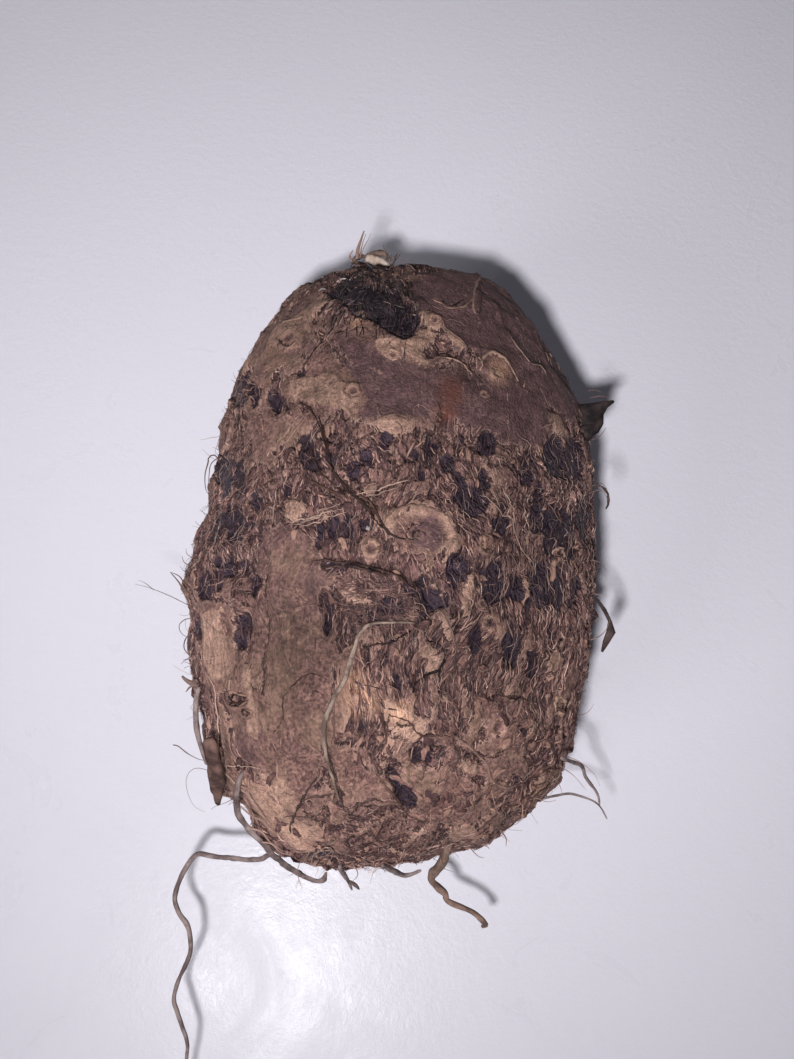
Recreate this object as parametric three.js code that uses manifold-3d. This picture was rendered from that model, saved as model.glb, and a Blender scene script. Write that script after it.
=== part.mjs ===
// A taro corm with the dry roots, root stubs and skin scraps that hang on it.
// Millimetres, +Z up. The corm lies on its side: +Y runs along it from the foot to the shoot
// end, +X across it, and the origin is the middle of the small flat that it rests on.

import * as THREE from "three";
import { mergeVertices } from "three/addons/utils/BufferGeometryUtils.js";
import Module from "manifold-3d";

// ---- driving dimensions ----------------------------------------------------------------

const CORM_HEIGHT = 62; // from the flat to the top
const WAIST_HEIGHT = 30; // height of the widest level
const FLAT_DEPTH = 0.6; // how much of the round underside the flat takes away

// Plan outline at the waist: radii at equal steps of bearing, clockwise from the shoot end.
const OUTLINE_RADII = [
  52, 50.5, 42.5, 35.5, 32, 32.5, 37, 45.5, 48.5, 50.5, 42.5, 35.5, 32.5, 32.5, 39, 48.5,
];
const SIDE_ROUNDNESS = 2; // superellipse exponent of the sections across the corm
const END_ROUNDNESS = 2.2; // the same for the two blunt ends

// Leaf-scar rings, as angles in degrees from the shoot end about the middle of the corm.
const RING_ANGLES = [32, 47, 62, 78, 94, 106, 119, 132, 145, 156];
const RING_HEIGHT = 0.5;
const RING_HALF_WIDTH = 3.2; // degrees
const SECTORS = 56; // facets round the corm

const ROOT_CLEARANCE = 0.4; // gap between the corm and what lies on it
const STEP_PER_DIAMETER = 1.6; // length of a root's facets, in root diameters

const TRAILING_ROOT_DIAMETER = 0.9;
const STRAP_ROOT_DIAMETER = 1.3;
const HOOK_ROOT_DIAMETER = 1.4;
const UNDER_ROOT_DIAMETER = 0.9;
const FORKED_ROOTLET_DIAMETER = 0.7;
const SURFACE_ROOT_DIAMETER = 0.7;
const SIDE_ROOT_DIAMETER = 0.8;
const SHOULDER_ROOT_DIAMETER = 0.9;
const LOWER_RIGHT_ROOT_DIAMETER = 0.6;
const STUB_WIDTH = 2.4;
const STUB_THICKNESS = 1;
const RIGHT_CURL_DIAMETER = 0.9;
const FLAP_WIDTH = 1.8;
const FLAP_THICKNESS = 0.5;
const SHOOT_DIAMETER = 3.8;
const SHOOT_LENGTH = 4.5;

// ---- materials -------------------------------------------------------------------------

const finish = (color, roughness) =>
  new THREE.MeshStandardMaterial({ color, roughness, metalness: 0 });

const cormSkin = finish(0x6b4e3f, 0.85);
const dryRoot = finish(0x6d5a4c, 0.8);
const paleRoot = finish(0x9c8166, 0.75);
const redStub = finish(0x7a4a36, 0.8);
const skinScrap = finish(0x5f4038, 0.85);
const shootTissue = finish(0xb9a184, 0.7);

// ---- the corm's surface ----------------------------------------------------------------

const wasm = await Module();
wasm.setup();

const middle = new THREE.Vector3(0, 0, WAIST_HEIGHT);
const crownHeight = CORM_HEIGHT - WAIST_HEIGHT;
const bellyDepth = WAIST_HEIGHT + FLAT_DEPTH;

const degrees = THREE.MathUtils.degToRad;

// Unit direction from the middle of the corm, by bearing from the shoot end and by height.
function direction(bearing, elevation) {
  const level = Math.cos(elevation);
  return new THREE.Vector3(
    level * Math.sin(bearing),
    level * Math.cos(bearing),
    Math.sin(elevation),
  );
}

// Radius of the plan outline at a bearing, as a closed Catmull-Rom curve through the radii.
function outlineRadius(bearing) {
  const count = OUTLINE_RADII.length;
  const place = THREE.MathUtils.euclideanModulo(bearing / (2 * Math.PI), 1) * count;
  const start = Math.floor(place);
  const t = place - start;
  const [before, from, to, after] = [-1, 0, 1, 2].map(
    (step) => OUTLINE_RADII[(start + step + count) % count],
  );
  const slopeFrom = (to - before) / 2;
  const slopeTo = (after - from) / 2;
  const t2 = t * t;
  const t3 = t2 * t;
  return (
    (2 * t3 - 3 * t2 + 1) * from +
    (t3 - 2 * t2 + t) * slopeFrom +
    (3 * t2 - 2 * t3) * to +
    (t3 - t2) * slopeTo
  );
}

// Superellipse exponent of the upright section at a bearing.
function roundnessAt(bearing) {
  return THREE.MathUtils.lerp(SIDE_ROUNDNESS, END_ROUNDNESS, Math.cos(bearing) ** 2);
}

// Height of the leaf-scar ridges at an angle from the shoot end.
function ringRelief(angle) {
  const crests = RING_ANGLES.map((ring) => {
    const across = Math.abs(THREE.MathUtils.radToDeg(angle) - ring) / RING_HALF_WIDTH;
    return Math.max(0, 1 - across);
  });
  return RING_HEIGHT * Math.max(...crests);
}

// The corm's surface point in a direction from its middle.
function cormPoint(toward) {
  const bearing = Math.atan2(toward.x, toward.y);
  const roundness = roundnessAt(bearing);
  const level = Math.hypot(toward.x, toward.y) / outlineRadius(bearing);
  const upright = Math.abs(toward.z) / (toward.z > 0 ? crownHeight : bellyDepth);
  const radius = (level ** roundness + upright ** roundness) ** (-1 / roundness);
  const relief = ringRelief(Math.acos(THREE.MathUtils.clamp(toward.y, -1, 1)));
  return toward.clone().multiplyScalar(radius + relief).add(middle);
}

// Outward normal of the corm's surface in a direction from its middle.
function cormNormal(toward) {
  const nudge = 0.05;
  const sideways = new THREE.Vector3(1, 0, 0).cross(toward).normalize();
  const across = toward.clone().cross(sideways).normalize();
  const sample = (axis, amount) =>
    cormPoint(toward.clone().addScaledVector(axis, amount).normalize());
  const alongEdge = sample(sideways, nudge).sub(sample(sideways, -nudge));
  const acrossEdge = sample(across, nudge).sub(sample(across, -nudge));
  const normal = alongEdge.cross(acrossEdge).normalize();
  return normal.dot(toward) < 0 ? normal.negate() : normal;
}

// A point that stands off the corm by a lift, above a plan position on its upper side.
function aboveCorm(x, y, lift) {
  const bearing = Math.atan2(x, y);
  const roundness = roundnessAt(bearing);
  const level = Math.min(1, Math.hypot(x, y) / outlineRadius(bearing));
  const height = crownHeight * (1 - level ** roundness) ** (1 / roundness);
  const toward = new THREE.Vector3(x, y, height).normalize();
  return cormPoint(toward).addScaledVector(cormNormal(toward), lift);
}

// ---- builders --------------------------------------------------------------------------

const part = new THREE.Group();

function addPiece(name, geometry, material) {
  const mesh = new THREE.Mesh(geometry, material);
  mesh.name = name;
  part.add(mesh);
  return mesh;
}

// Merges a geometry's shared vertices, so that only a closed skin of positions is left.
function closedSkin(geometry) {
  const plain = geometry.clone();
  plain.deleteAttribute("normal");
  plain.deleteAttribute("uv");
  return mergeVertices(plain, 1e-4);
}

function toManifold(geometry) {
  const skin = closedSkin(geometry);
  const mesh = new wasm.Mesh({
    numProp: 3,
    vertProperties: new Float32Array(skin.attributes.position.array),
    triVerts: new Uint32Array(skin.index.array),
  });
  return new wasm.Manifold(mesh);
}

function fromManifold(solid) {
  const { vertProperties, triVerts } = solid.getMesh();
  const geometry = new THREE.BufferGeometry();
  geometry.setAttribute("position", new THREE.BufferAttribute(vertProperties, 3));
  geometry.setIndex(new THREE.BufferAttribute(triVerts, 1));
  geometry.computeVertexNormals();
  return geometry;
}

// A many-sided rod or strip with closed ends along a smooth path. Its width lies along the
// world axis that the path's start runs along least.
function rodAlong(points, width, thickness, sides) {
  const path = new THREE.CatmullRomCurve3(points, false, "centripetal");
  const outline = new THREE.Shape();
  for (let side = 0; side < sides; side += 1) {
    const angle = (2 * Math.PI * side) / sides;
    const x = (width / 2) * Math.cos(angle);
    const y = (thickness / 2) * Math.sin(angle);
    if (side === 0) outline.moveTo(x, y);
    else outline.lineTo(x, y);
  }
  outline.closePath();
  const steps = Math.ceil(path.getLength() / (thickness * STEP_PER_DIAMETER));
  return new THREE.ExtrudeGeometry(outline, { steps, bevelEnabled: false, extrudePath: path });
}

const rootAlong = (points, diameter) => rodAlong(points, diameter, diameter, 6);
const stripAlong = (points, width, thickness) => rodAlong(points, width, thickness, 8);
const freePath = (points) => points.map(([x, y, z]) => new THREE.Vector3(x, y, z));
const lyingPath = (points, diameter) =>
  points.map(([x, y]) => aboveCorm(x, y, diameter / 2 + ROOT_CLEARANCE));

// ---- the corm --------------------------------------------------------------------------

// Angles of the mesh rows from the shoot end: each ring's two feet and its crest, with one
// row half way between neighbouring rings, and rows closing in on both ends.
function rowAngles() {
  const rings = RING_ANGLES.flatMap((ring, index) => {
    const next = RING_ANGLES[index + 1];
    const rows = [ring - RING_HALF_WIDTH, ring, ring + RING_HALF_WIDTH];
    return next === undefined ? rows : [...rows, (ring + next) / 2];
  });
  return [0, 6, 12, 18, 24, ...rings, 164, 170, 175, 180];
}

function cormGeometry() {
  const rows = rowAngles();
  const ball = new THREE.SphereGeometry(1, SECTORS, rows.length - 1);
  const positions = ball.attributes.position;
  const columns = SECTORS + 1;
  for (let index = 0; index < positions.count; index += 1) {
    const polar = degrees(rows[Math.floor(index / columns)]);
    const turn = (2 * Math.PI * (index % columns)) / SECTORS;
    const toward = new THREE.Vector3(
      Math.sin(polar) * Math.cos(turn),
      Math.cos(polar),
      -Math.sin(polar) * Math.sin(turn),
    );
    positions.setXYZ(index, ...cormPoint(toward).toArray());
  }
  const underside = new THREE.BoxGeometry(200, 200, 40).translate(0, 0, -20);
  return fromManifold(toManifold(ball).subtract(toManifold(underside)));
}

addPiece("corm", cormGeometry(), cormSkin);

// ---- the shoot's stump -----------------------------------------------------------------

// A short rounded stump that stands on the corm's surface in a direction from its middle.
function addShootStub() {
  const toward = direction(degrees(-2.5), degrees(16));
  const normal = cormNormal(toward);
  const radius = SHOOT_DIAMETER / 2;
  const profile = [
    [0, 0],
    [radius, 0],
    [radius * 1.1, SHOOT_LENGTH * 0.35],
    [radius * 0.95, SHOOT_LENGTH * 0.7],
    [radius * 0.6, SHOOT_LENGTH * 0.93],
    [0, SHOOT_LENGTH],
  ].map(([x, y]) => new THREE.Vector2(x, y));
  const stub = addPiece("shoot_stub", new THREE.LatheGeometry(profile, 16), shootTissue);
  const foot = cormPoint(toward).addScaledVector(normal, ROOT_CLEARANCE);
  stub.position.copy(foot);
  stub.quaternion.setFromUnitVectors(new THREE.Vector3(0, 1, 0), normal);
}

addShootStub();

// ---- roots that lie on the upper side, as plan positions [x, y] --------------------------

const surfaceRootRoute = [
  [-1.5, -23.5],
  [-4.5, -23.5],
  [-7.5, -24],
  [-9, -26.5],
  [-10, -29.5],
  [-11.5, -32],
  [-12.5, -35],
  [-12, -38.5],
  [-10.5, -42.5],
];
const shoulderRootRoute = [
  [-15, 8],
  [-13.5, 6.5],
  [-12.5, 3],
  [-11.5, -2],
  [-9.5, -6.5],
  [-6.5, -10.5],
  [-4, -13.5],
];

function addLyingRoot(name, route, diameter, material) {
  addPiece(name, rootAlong(lyingPath(route, diameter), diameter), material);
}

addLyingRoot("surface_root", surfaceRootRoute, SURFACE_ROOT_DIAMETER, paleRoot);
addLyingRoot("shoulder_root", shoulderRootRoute, SHOULDER_ROOT_DIAMETER, dryRoot);

// ---- stiff dry roots that stand clear of the corm, as points [x, y, z] -------------------

const strapRootRoute = [
  [-23.5, -40, 46],
  [-24.5, -42, 42],
  [-24, -44, 38.5],
  [-21, -46.5, 38],
  [-19, -48.5, 36],
  [-16, -50, 29.5],
  [-13.5, -51, 28],
  [-12, -50, 31],
];
const trailingRootRoute = [
  [-21.5, -49, 30.5],
  [-26.5, -47, 27.5],
  [-30, -46.5, 26.5],
  [-33, -50, 25.5],
  [-33, -52, 25],
  [-30.5, -56.5, 24],
  [-31, -60.5, 23],
  [-33, -63.5, 22.5],
  [-31, -69, 21],
  [-31, -72, 20],
  [-31.5, -75.5, 18.5],
  [-30.5, -80, 17],
];
const hookRootRoute = [
  [3.5, -50, 33],
  [2.5, -51, 29.5],
  [4.5, -53, 28],
  [5, -54, 27.5],
  [8.5, -55.5, 26],
  [10.5, -57, 25],
  [10, -57.5, 24.5],
];
const underRootRoute = [
  [-5, -49.5, 38],
  [-3, -50, 33],
  [-1, -50.5, 29],
  [1, -50, 30.5],
];
const sideRootRoute = [
  [-29.5, -27, 44],
  [-30, -29, 43],
  [-30, -32, 41.5],
  [-29.5, -34, 40.5],
  [-28.5, -36.5, 40],
];
const lowerRightRootRoute = [
  [18, -38, 47],
  [20, -38, 44],
  [23, -38, 39.5],
  [24.5, -39, 36],
  [26.5, -41, 34],
  [27, -42.5, 33],
];
const rightCurlRoute = [
  [27.5, -14.5, 45],
  [29.5, -15.5, 41.5],
  [30, -18, 41],
  [30, -20, 41.5],
  [28.5, -22.5, 42],
];

function addFreeRoot(name, route, diameter, material) {
  addPiece(name, rootAlong(freePath(route), diameter), material);
}

addFreeRoot("strap_root", strapRootRoute, STRAP_ROOT_DIAMETER, dryRoot);
addFreeRoot("trailing_root", trailingRootRoute, TRAILING_ROOT_DIAMETER, dryRoot);
addFreeRoot("hook_root", hookRootRoute, HOOK_ROOT_DIAMETER, dryRoot);
addFreeRoot("under_root", underRootRoute, UNDER_ROOT_DIAMETER, dryRoot);
addFreeRoot("side_root", sideRootRoute, SIDE_ROOT_DIAMETER, dryRoot);
addFreeRoot("lower_right_root", lowerRightRootRoute, LOWER_RIGHT_ROOT_DIAMETER, dryRoot);
addFreeRoot("right_curl", rightCurlRoute, RIGHT_CURL_DIAMETER, skinScrap);

// The forked rootlet: its stem and its side branch are one piece.
function addForkedRootlet() {
  const stemRoute = [
    [-10.5, -49.5, 39],
    [-10, -50, 34],
    [-9, -51, 28],
    [-8.5, -52, 27],
  ];
  const branchRoute = [
    [-9, -50.9, 28.5],
    [-8, -51.5, 28],
    [-7.5, -52, 27.5],
  ];
  const [stem, branch] = [stemRoute, branchRoute].map((route) =>
    toManifold(rootAlong(freePath(route), FORKED_ROOTLET_DIAMETER)),
  );
  addPiece("forked_rootlet", fromManifold(stem.add(branch)), dryRoot);
}

addForkedRootlet();

// ---- the flat stub and the flap, as points [x, y, z] -------------------------------------------

const stubRoute = [
  [-26.5, -35.5, 45.5],
  [-26.5, -38, 43],
  [-26.5, -39.5, 40.5],
  [-26.5, -41, 37],
];
const sideFlapRoute = [
  [28.5, 17, 49],
  [30.5, 17.5, 47],
  [32, 17.5, 47],
  [34, 17, 48],
];

function addStrip(name, route, width, thickness, material) {
  addPiece(name, stripAlong(freePath(route), width, thickness), material);
}

addStrip("flat_root_stub", stubRoute, STUB_WIDTH, STUB_THICKNESS, redStub);
addStrip("side_flap", sideFlapRoute, FLAP_WIDTH, FLAP_THICKNESS, skinScrap);

export default part;
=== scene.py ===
import math

import bpy
import numpy as np
from mathutils import Matrix, Vector
from mathutils.bvhtree import BVHTree


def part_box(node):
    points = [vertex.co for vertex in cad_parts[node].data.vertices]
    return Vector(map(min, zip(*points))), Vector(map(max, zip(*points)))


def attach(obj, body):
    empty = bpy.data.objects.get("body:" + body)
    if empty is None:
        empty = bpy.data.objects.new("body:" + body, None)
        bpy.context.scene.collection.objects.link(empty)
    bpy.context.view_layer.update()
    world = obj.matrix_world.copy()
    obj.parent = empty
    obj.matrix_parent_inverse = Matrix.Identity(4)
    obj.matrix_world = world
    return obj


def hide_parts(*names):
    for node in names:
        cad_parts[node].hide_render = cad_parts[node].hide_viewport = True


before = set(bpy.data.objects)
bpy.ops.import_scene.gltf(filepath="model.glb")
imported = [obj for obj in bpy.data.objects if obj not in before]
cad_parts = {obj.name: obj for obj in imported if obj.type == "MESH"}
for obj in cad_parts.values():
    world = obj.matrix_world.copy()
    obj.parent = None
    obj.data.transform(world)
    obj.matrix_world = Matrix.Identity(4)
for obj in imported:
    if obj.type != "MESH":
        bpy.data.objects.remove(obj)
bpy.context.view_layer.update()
print("frame loaded")

# Lengths are in mm. Places in the view are pixels of the camera's frame, from its upper left.
mm = 0.001
middle = np.array([0.0, 0.0, 30.0])  # the middle of the corm at its widest level
pixelsPerMm = 7.2  # in the view, on the upper side
farOff = 9.0  # how far away an outline is taken to be on the side that it does not reach
fieldCells = 32  # a random field repeats after this many lumps
fieldShift = 200.37  # lumps, so that no place in a field is below zero


def unit(vectors):
    return vectors / np.maximum(np.linalg.norm(vectors, axis=-1, keepdims=True), 1e-9)


def flattened(ways, normals):  # the same ways laid flat on the skin
    return unit(ways - normals * (ways * normals).sum(1, keepdims=True))


def smoothStep(low, high, value):
    part = np.clip((value - low) / (high - low), 0, 1)
    return part * part * (3 - 2 * part)


def lumps(points, size, seed):  # smooth random field, -1 to 1, with lumps of this size
    table = np.random.default_rng(seed).uniform(-1, 1, (fieldCells,) * 3)
    place = points / size + fieldShift
    base = np.floor(place).astype(int)
    part = smoothStep(0, 1, place - base)
    total = np.zeros(len(points))
    for corner in range(8):
        step = np.array([corner & 1, corner >> 1 & 1, corner >> 2 & 1])
        cell = (base + step) % fieldCells
        weight = np.prod(np.where(step, part, 1 - part), axis=1)
        total += weight * table[cell[:, 0], cell[:, 1], cell[:, 2]]
    return total


def lumpSum(points, *rows):  # such fields added up: the weight, size and seed of each
    return sum(weight * lumps(points, size, seed) for weight, size, seed in rows)


def makeMesh(name, points, faces, material):
    mesh = bpy.data.meshes.new(name)
    mesh.from_pydata((points * mm).tolist(), [], faces)
    mesh.polygons.foreach_set("use_smooth", np.ones(len(mesh.polygons), bool))
    mesh.update()
    mesh.materials.append(material)
    piece = bpy.data.objects.new(name, mesh)
    bpy.context.scene.collection.objects.link(piece)
    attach(piece, "root")
    return piece


def setFields(piece, **fields):  # a number or a vector at each point of a mesh, for its material
    for name, values in fields.items():
        values = np.asarray(values, np.float32)
        kind, key = ("FLOAT", "value") if values.ndim == 1 else ("FLOAT_VECTOR", "vector")
        piece.data.attributes.new(name, kind, "POINT").data.foreach_set(key, values.ravel())


class Finish:  # a Principled material and the few nodes that all finishes use
    def __init__(self, name, specular):
        self.material = bpy.data.materials.new(name)
        self.material.use_nodes = True
        self.tree = self.material.node_tree
        self.shader = self.tree.nodes["Principled BSDF"]
        self.plug(self.shader.inputs["Specular IOR Level"], specular)

    def plug(self, socket, value):
        if isinstance(value, bpy.types.NodeSocket):
            self.tree.links.new(value, socket)
        elif isinstance(value, tuple) and len(value) < len(socket.default_value):
            socket.default_value = (*value, 1)
        else:
            socket.default_value = value

    def node(self, kind, output, inputs, **settings):
        node = self.tree.nodes.new("ShaderNode" + kind)
        for name, value in settings.items():
            setattr(node, name, value)
        for name, value in inputs.items():
            self.plug(node.inputs[name], value)
        return node.outputs[output]

    def coordinates(self):
        return self.node("TexCoord", "Object", {})

    def number(self, name):
        return self.node("Attribute", "Fac", {}, attribute_name=name)

    def vector(self, name):
        return self.node("Attribute", "Vector", {}, attribute_name=name)

    def noise(self, vector, scale, detail=3, roughness=0.55, distortion=0.0, output="Fac"):
        return self.node("TexNoise", output, {"Vector": vector, "Scale": scale, "Detail": detail,
                                              "Roughness": roughness, "Distortion": distortion})

    def cells(self, vector, scale, feature="F1", output="Distance"):
        return self.node("TexVoronoi", output, {"Vector": vector, "Scale": scale}, feature=feature)

    def stretched(self, vector, across, along):
        return self.node("VectorMath", "Vector", {0: vector, 1: (across, across, along)},
                         operation="MULTIPLY")

    def scaled(self, color, amount):  # a colour made brighter or darker
        return self.node("VectorMath", "Vector", {0: color, "Scale": amount}, operation="SCALE")

    def lengthOf(self, vector):
        return self.node("VectorMath", "Value", {0: vector}, operation="LENGTH")

    def warped(self, vector, scale, amount):  # the same place, shifted about by noise
        shift = self.noise(vector, scale, 2, 0.5, output="Color")
        return self.node("VectorMath", "Vector", {0: shift, 1: (amount, amount, amount), 2: vector},
                         operation="MULTIPLY_ADD")

    def math(self, operation, first, second=0.0, third=0.0):
        return self.node("Math", 0, {0: first, 1: second, 2: third}, operation=operation)

    def plus(self, first, second):
        return self.math("ADD", first, second)

    def times(self, first, second):
        return self.math("MULTIPLY", first, second)

    def timesPlus(self, first, factor, more):
        return self.math("MULTIPLY_ADD", first, factor, more)

    def awayFrom(self, value, level):
        return self.math("ABSOLUTE", self.math("SUBTRACT", value, level))

    def fade(self, value, low, high, fromValue=0.0, toValue=1.0):
        return self.node("MapRange", "Result", {"Value": value, "From Min": low, "From Max": high,
                                                "To Min": fromValue, "To Max": toValue},
                         interpolation_type="SMOOTHSTEP")

    def blend(self, amount, first, second):
        return self.node("Mix", 2, {0: amount, 6: first, 7: second}, data_type="RGBA")

    def coat(self, tone, color, value, low, high, most=1.0):
        # a colour over the tone, from none of it where the value is low to the most at high
        return self.blend(self.fade(value, low, high, 0, most), tone, color)

    def bump(self, height, distance, strength=1.0, below=None):
        inputs = {"Height": height, "Distance": distance * mm, "Strength": strength}
        if below is not None:
            inputs["Normal"] = below
        return self.node("Bump", "Normal", inputs)

    def finish(self, color, roughness, normal):
        self.plug(self.shader.inputs["Base Color"], color)
        self.plug(self.shader.inputs["Roughness"], roughness)
        self.plug(self.shader.inputs["Normal"], normal)
        return self.material


viewFrame = {"width": 794, "height": 1059, "focal": 795}  # pixels
cameraSetup = {
    "place": (-13.0, -55.0, 150.0),
    "right": (0.9953, -0.0419, 0.0868),
    "up": (0.0, 0.9006, 0.4347),
    "sensor": 36,
    "nearest": 5,
}
cameraPlace = np.array(cameraSetup["place"])
cameraRight = unit(np.array(cameraSetup["right"]))
cameraBack = unit(np.cross(cameraRight, np.array(cameraSetup["up"])))
cameraUp = np.cross(cameraBack, cameraRight)


def toView(points):  # where these points fall in the view
    offset = points - cameraPlace
    scale = viewFrame["focal"] / -(offset @ cameraBack)
    x = viewFrame["width"] / 2 + scale * (offset @ cameraRight)
    y = viewFrame["height"] / 2 - scale * (offset @ cameraUp)
    return np.stack([x, y], axis=-1)


def viewRay(x, y):
    across = (x - viewFrame["width"] / 2) / viewFrame["focal"]
    above = (viewFrame["height"] / 2 - y) / viewFrame["focal"]
    return unit(across * cameraRight + above * cameraUp - cameraBack)


def atDepth(x, y, depth):  # the point seen at this place in the view, this far from the camera
    ray = viewRay(x, y)
    return cameraPlace + ray * (depth / -(ray @ cameraBack))


def makeCamera():
    data = bpy.data.cameras.new("camera")
    data.sensor_fit = "VERTICAL"
    data.sensor_height = cameraSetup["sensor"]
    data.lens = cameraSetup["sensor"] * viewFrame["focal"] / viewFrame["height"]
    data.clip_start = cameraSetup["nearest"] * mm
    camera = bpy.data.objects.new("camera", data)
    turn = Matrix([cameraRight, cameraUp, cameraBack]).transposed().to_4x4()
    camera.matrix_world = Matrix.Translation(Vector(cameraPlace * mm)) @ turn
    bpy.context.scene.collection.objects.link(camera)
    bpy.context.scene.camera = camera


lightSetup = {
    "key": {"place": (-24, -74, 156), "aim": (0, 125, 0), "size": 8, "strength": 13.3},
    "fill": {"place": (-300, -280, 240), "aim": (0, 0, 20), "size": 160, "strength": 2.7},
}
skySetup = {"color": (0.74, 0.73, 0.80, 1), "strength": 0.125}
floorSetup = {"side": 3000, "tones": ((0.60, 0.58, 0.65), (0.64, 0.62, 0.69)), "roughness": (0.26, 0.42)}


def makeLight(name, place, aim, size, strength):  # a round lamp that does not fade with distance
    data = bpy.data.lights.new(name, "AREA")
    data.shape = "DISK"
    data.size = size * mm
    data.energy = 1
    data.use_nodes = True
    nodes = data.node_tree.nodes
    fading = nodes.new("ShaderNodeLightFalloff")
    fading.inputs["Strength"].default_value = strength
    data.node_tree.links.new(fading.outputs["Constant"], nodes["Emission"].inputs["Strength"])
    light = bpy.data.objects.new(name, data)
    light.location = Vector(place) * mm
    light.rotation_euler = (Vector(aim) * mm - light.location).to_track_quat("-Z", "Y").to_euler()
    bpy.context.scene.collection.objects.link(light)


def makeSky():
    world = bpy.data.worlds.new("pale room")
    world.use_nodes = True
    sky = world.node_tree.nodes["Background"]
    sky.inputs["Color"].default_value = skySetup["color"]
    sky.inputs["Strength"].default_value = skySetup["strength"]
    bpy.context.scene.world = world
    bpy.context.scene.view_settings.view_transform = "Standard"


def floorFinish():
    look = Finish("pale worktop", 0.3)
    place = look.coordinates()
    tone = look.blend(look.noise(place, 9, 4), *floorSetup["tones"])
    smears = look.noise(look.stretched(place, 40, 40), 1.0, 5, 0.7, 1.5)
    shine = look.fade(smears, 0.35, 0.65, *floorSetup["roughness"])
    return look.finish(tone, shine, look.bump(look.noise(place, 420, 5, 0.8), 0.25, 0.45))


def makeFloor():
    bpy.ops.mesh.primitive_plane_add(size=floorSetup["side"] * mm)
    floor = bpy.context.active_object
    floor.name = "floor"
    floor.data.materials.append(floorFinish())


makeCamera()
for name, values in lightSetup.items():
    makeLight(name, **values)
makeSky()
makeFloor()
print("camera, lights and floor ready")


skinSetup = {
    "squares": (110, 168, 104),  # across, along and up
    "halfSize": (33.0, 50.0, 31.0),
    "easing": 40,  # rounds that take the facets out
}


def boxGrid(counts):
    # the outside of a box of counts[0] x counts[1] x counts[2] cells as one closed net of squares
    keys, charts, places = [], [], []
    for axis in range(3):
        one, two = (axis + 1) % 3, (axis + 2) % 3
        for side in (0, counts[axis]):
            i, j = np.indices((counts[one], counts[two])).reshape(2, -1)
            corners = np.full((i.size, 4, 3), side)
            corners[..., one] = i[:, None] + (0, 1, 1, 0)
            corners[..., two] = j[:, None] + (0, 0, 1, 1)
            if side == 0:
                corners = corners[:, ::-1]
            keys.append(np.ravel_multi_index(tuple(np.moveaxis(corners, 2, 0)), tuple(counts + 1)))
            places.append(corners[..., [one, two]])
            charts.append(np.full(i.size, axis * 2 + (side > 0)))
    unique, faces = np.unique(np.concatenate(keys), return_inverse=True)
    lattice = np.stack(np.unravel_index(unique, tuple(counts + 1)), axis=1)
    return lattice, faces.reshape(-1, 4), np.concatenate(charts), np.concatenate(places)


def bakeLayout(piece):  # the six sides of the net laid out side by side, so that nothing overlaps
    gap = 4
    nextLeft, nextLow = counts[0] + gap, counts[1] + gap
    corner = {5: (0, 0), 4: (nextLeft, 0), 1: (0, nextLow), 0: (counts[2] + gap, nextLow),
              3: (2 * nextLeft, 0), 2: (2 * nextLeft, nextLow)}
    flat = np.zeros(chartPlaces.shape, float)
    for chart, (left, low) in corner.items():
        mine = chartPlaces[charts == chart].astype(float)
        if chart < 4:  # the flanks and the ends stand upright on the sheet
            mine = mine[..., ::-1]
        flat[charts == chart] = mine + np.array([left, low]) + gap / 2
    flat /= 2 * counts[0] + counts[1] + 4 * gap
    layer = piece.data.uv_layers.new(name="OFBake")
    layer.data.foreach_set("uv", flat.ravel().astype(np.float32))


def treeOf(mesh):
    points = np.zeros(len(mesh.vertices) * 3, np.float32)
    mesh.vertices.foreach_get("co", points)
    faces = [list(face.vertices) for face in mesh.polygons]
    return BVHTree.FromPolygons((points.reshape(-1, 3) / mm).tolist(), faces)


def eased(values, faces, rounds):  # values at the net's points, each drawn towards its neighbours
    edges = np.concatenate([faces[:, [corner, (corner + 1) % 4]] for corner in range(4)])
    edges = np.unique(np.sort(edges, axis=1), axis=0)
    degree = np.bincount(edges.ravel(), minlength=len(values)).astype(float)
    for _ in range(rounds):
        total = np.bincount(edges[:, 0], values[edges[:, 1]], len(values))
        total += np.bincount(edges[:, 1], values[edges[:, 0]], len(values))
        values = 0.4 * values + 0.6 * (total / degree)
    return values


def vertexNormals(points, faces):
    spin = np.cross(points[faces[:, 2]] - points[faces[:, 0]], points[faces[:, 3]] - points[faces[:, 1]])
    total = np.zeros(points.shape)
    for corner in range(4):
        for axis in range(3):
            total[:, axis] += np.bincount(faces[:, corner], spin[:, axis], len(points))
    return unit(total)


counts = np.array(skinSetup["squares"])
lattice, skinFaces, charts, chartPlaces = boxGrid(counts)
cube = np.tan((lattice / counts * 2 - 1) * math.pi / 4)
toward = unit(unit(cube) * np.array(skinSetup["halfSize"]))
cormTree = treeOf(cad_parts["corm"].data)
reach = np.array([cormTree.ray_cast(Vector(middle), Vector(way))[3] for way in toward.tolist()])
reach = eased(reach, skinFaces, skinSetup["easing"])
smoothPlace = middle + toward * reach[:, None]
skinNormal = vertexNormals(smoothPlace, skinFaces)

# how far along the corm and how far round it each point of the skin lies
fromShoot = np.degrees(np.arccos(np.clip(toward[:, 1], -1, 1)))
roundAngle = np.arctan2(smoothPlace[:, 0], smoothPlace[:, 2] - middle[2])
shootward = flattened(unit(np.array([0, 1, 0]) - toward * toward[:, 1:2]), skinNormal)
sideward = np.cross(shootward, skinNormal)
viewPlace = toView(smoothPlace)
facing = (unit(cameraPlace - smoothPlace) * skinNormal).sum(1)
nearSide = smoothStep(0.02, 0.16, facing) > 0.01
print("skin surface:", len(toward), "points")


def distanceToPart(places, one, two):  # from the straight part of a line between two places
    way = two - one
    share = np.clip(((places - one) @ way) / (way @ way), 0, 1)
    return np.linalg.norm(places - one - share[:, None] * way, axis=1)


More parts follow.
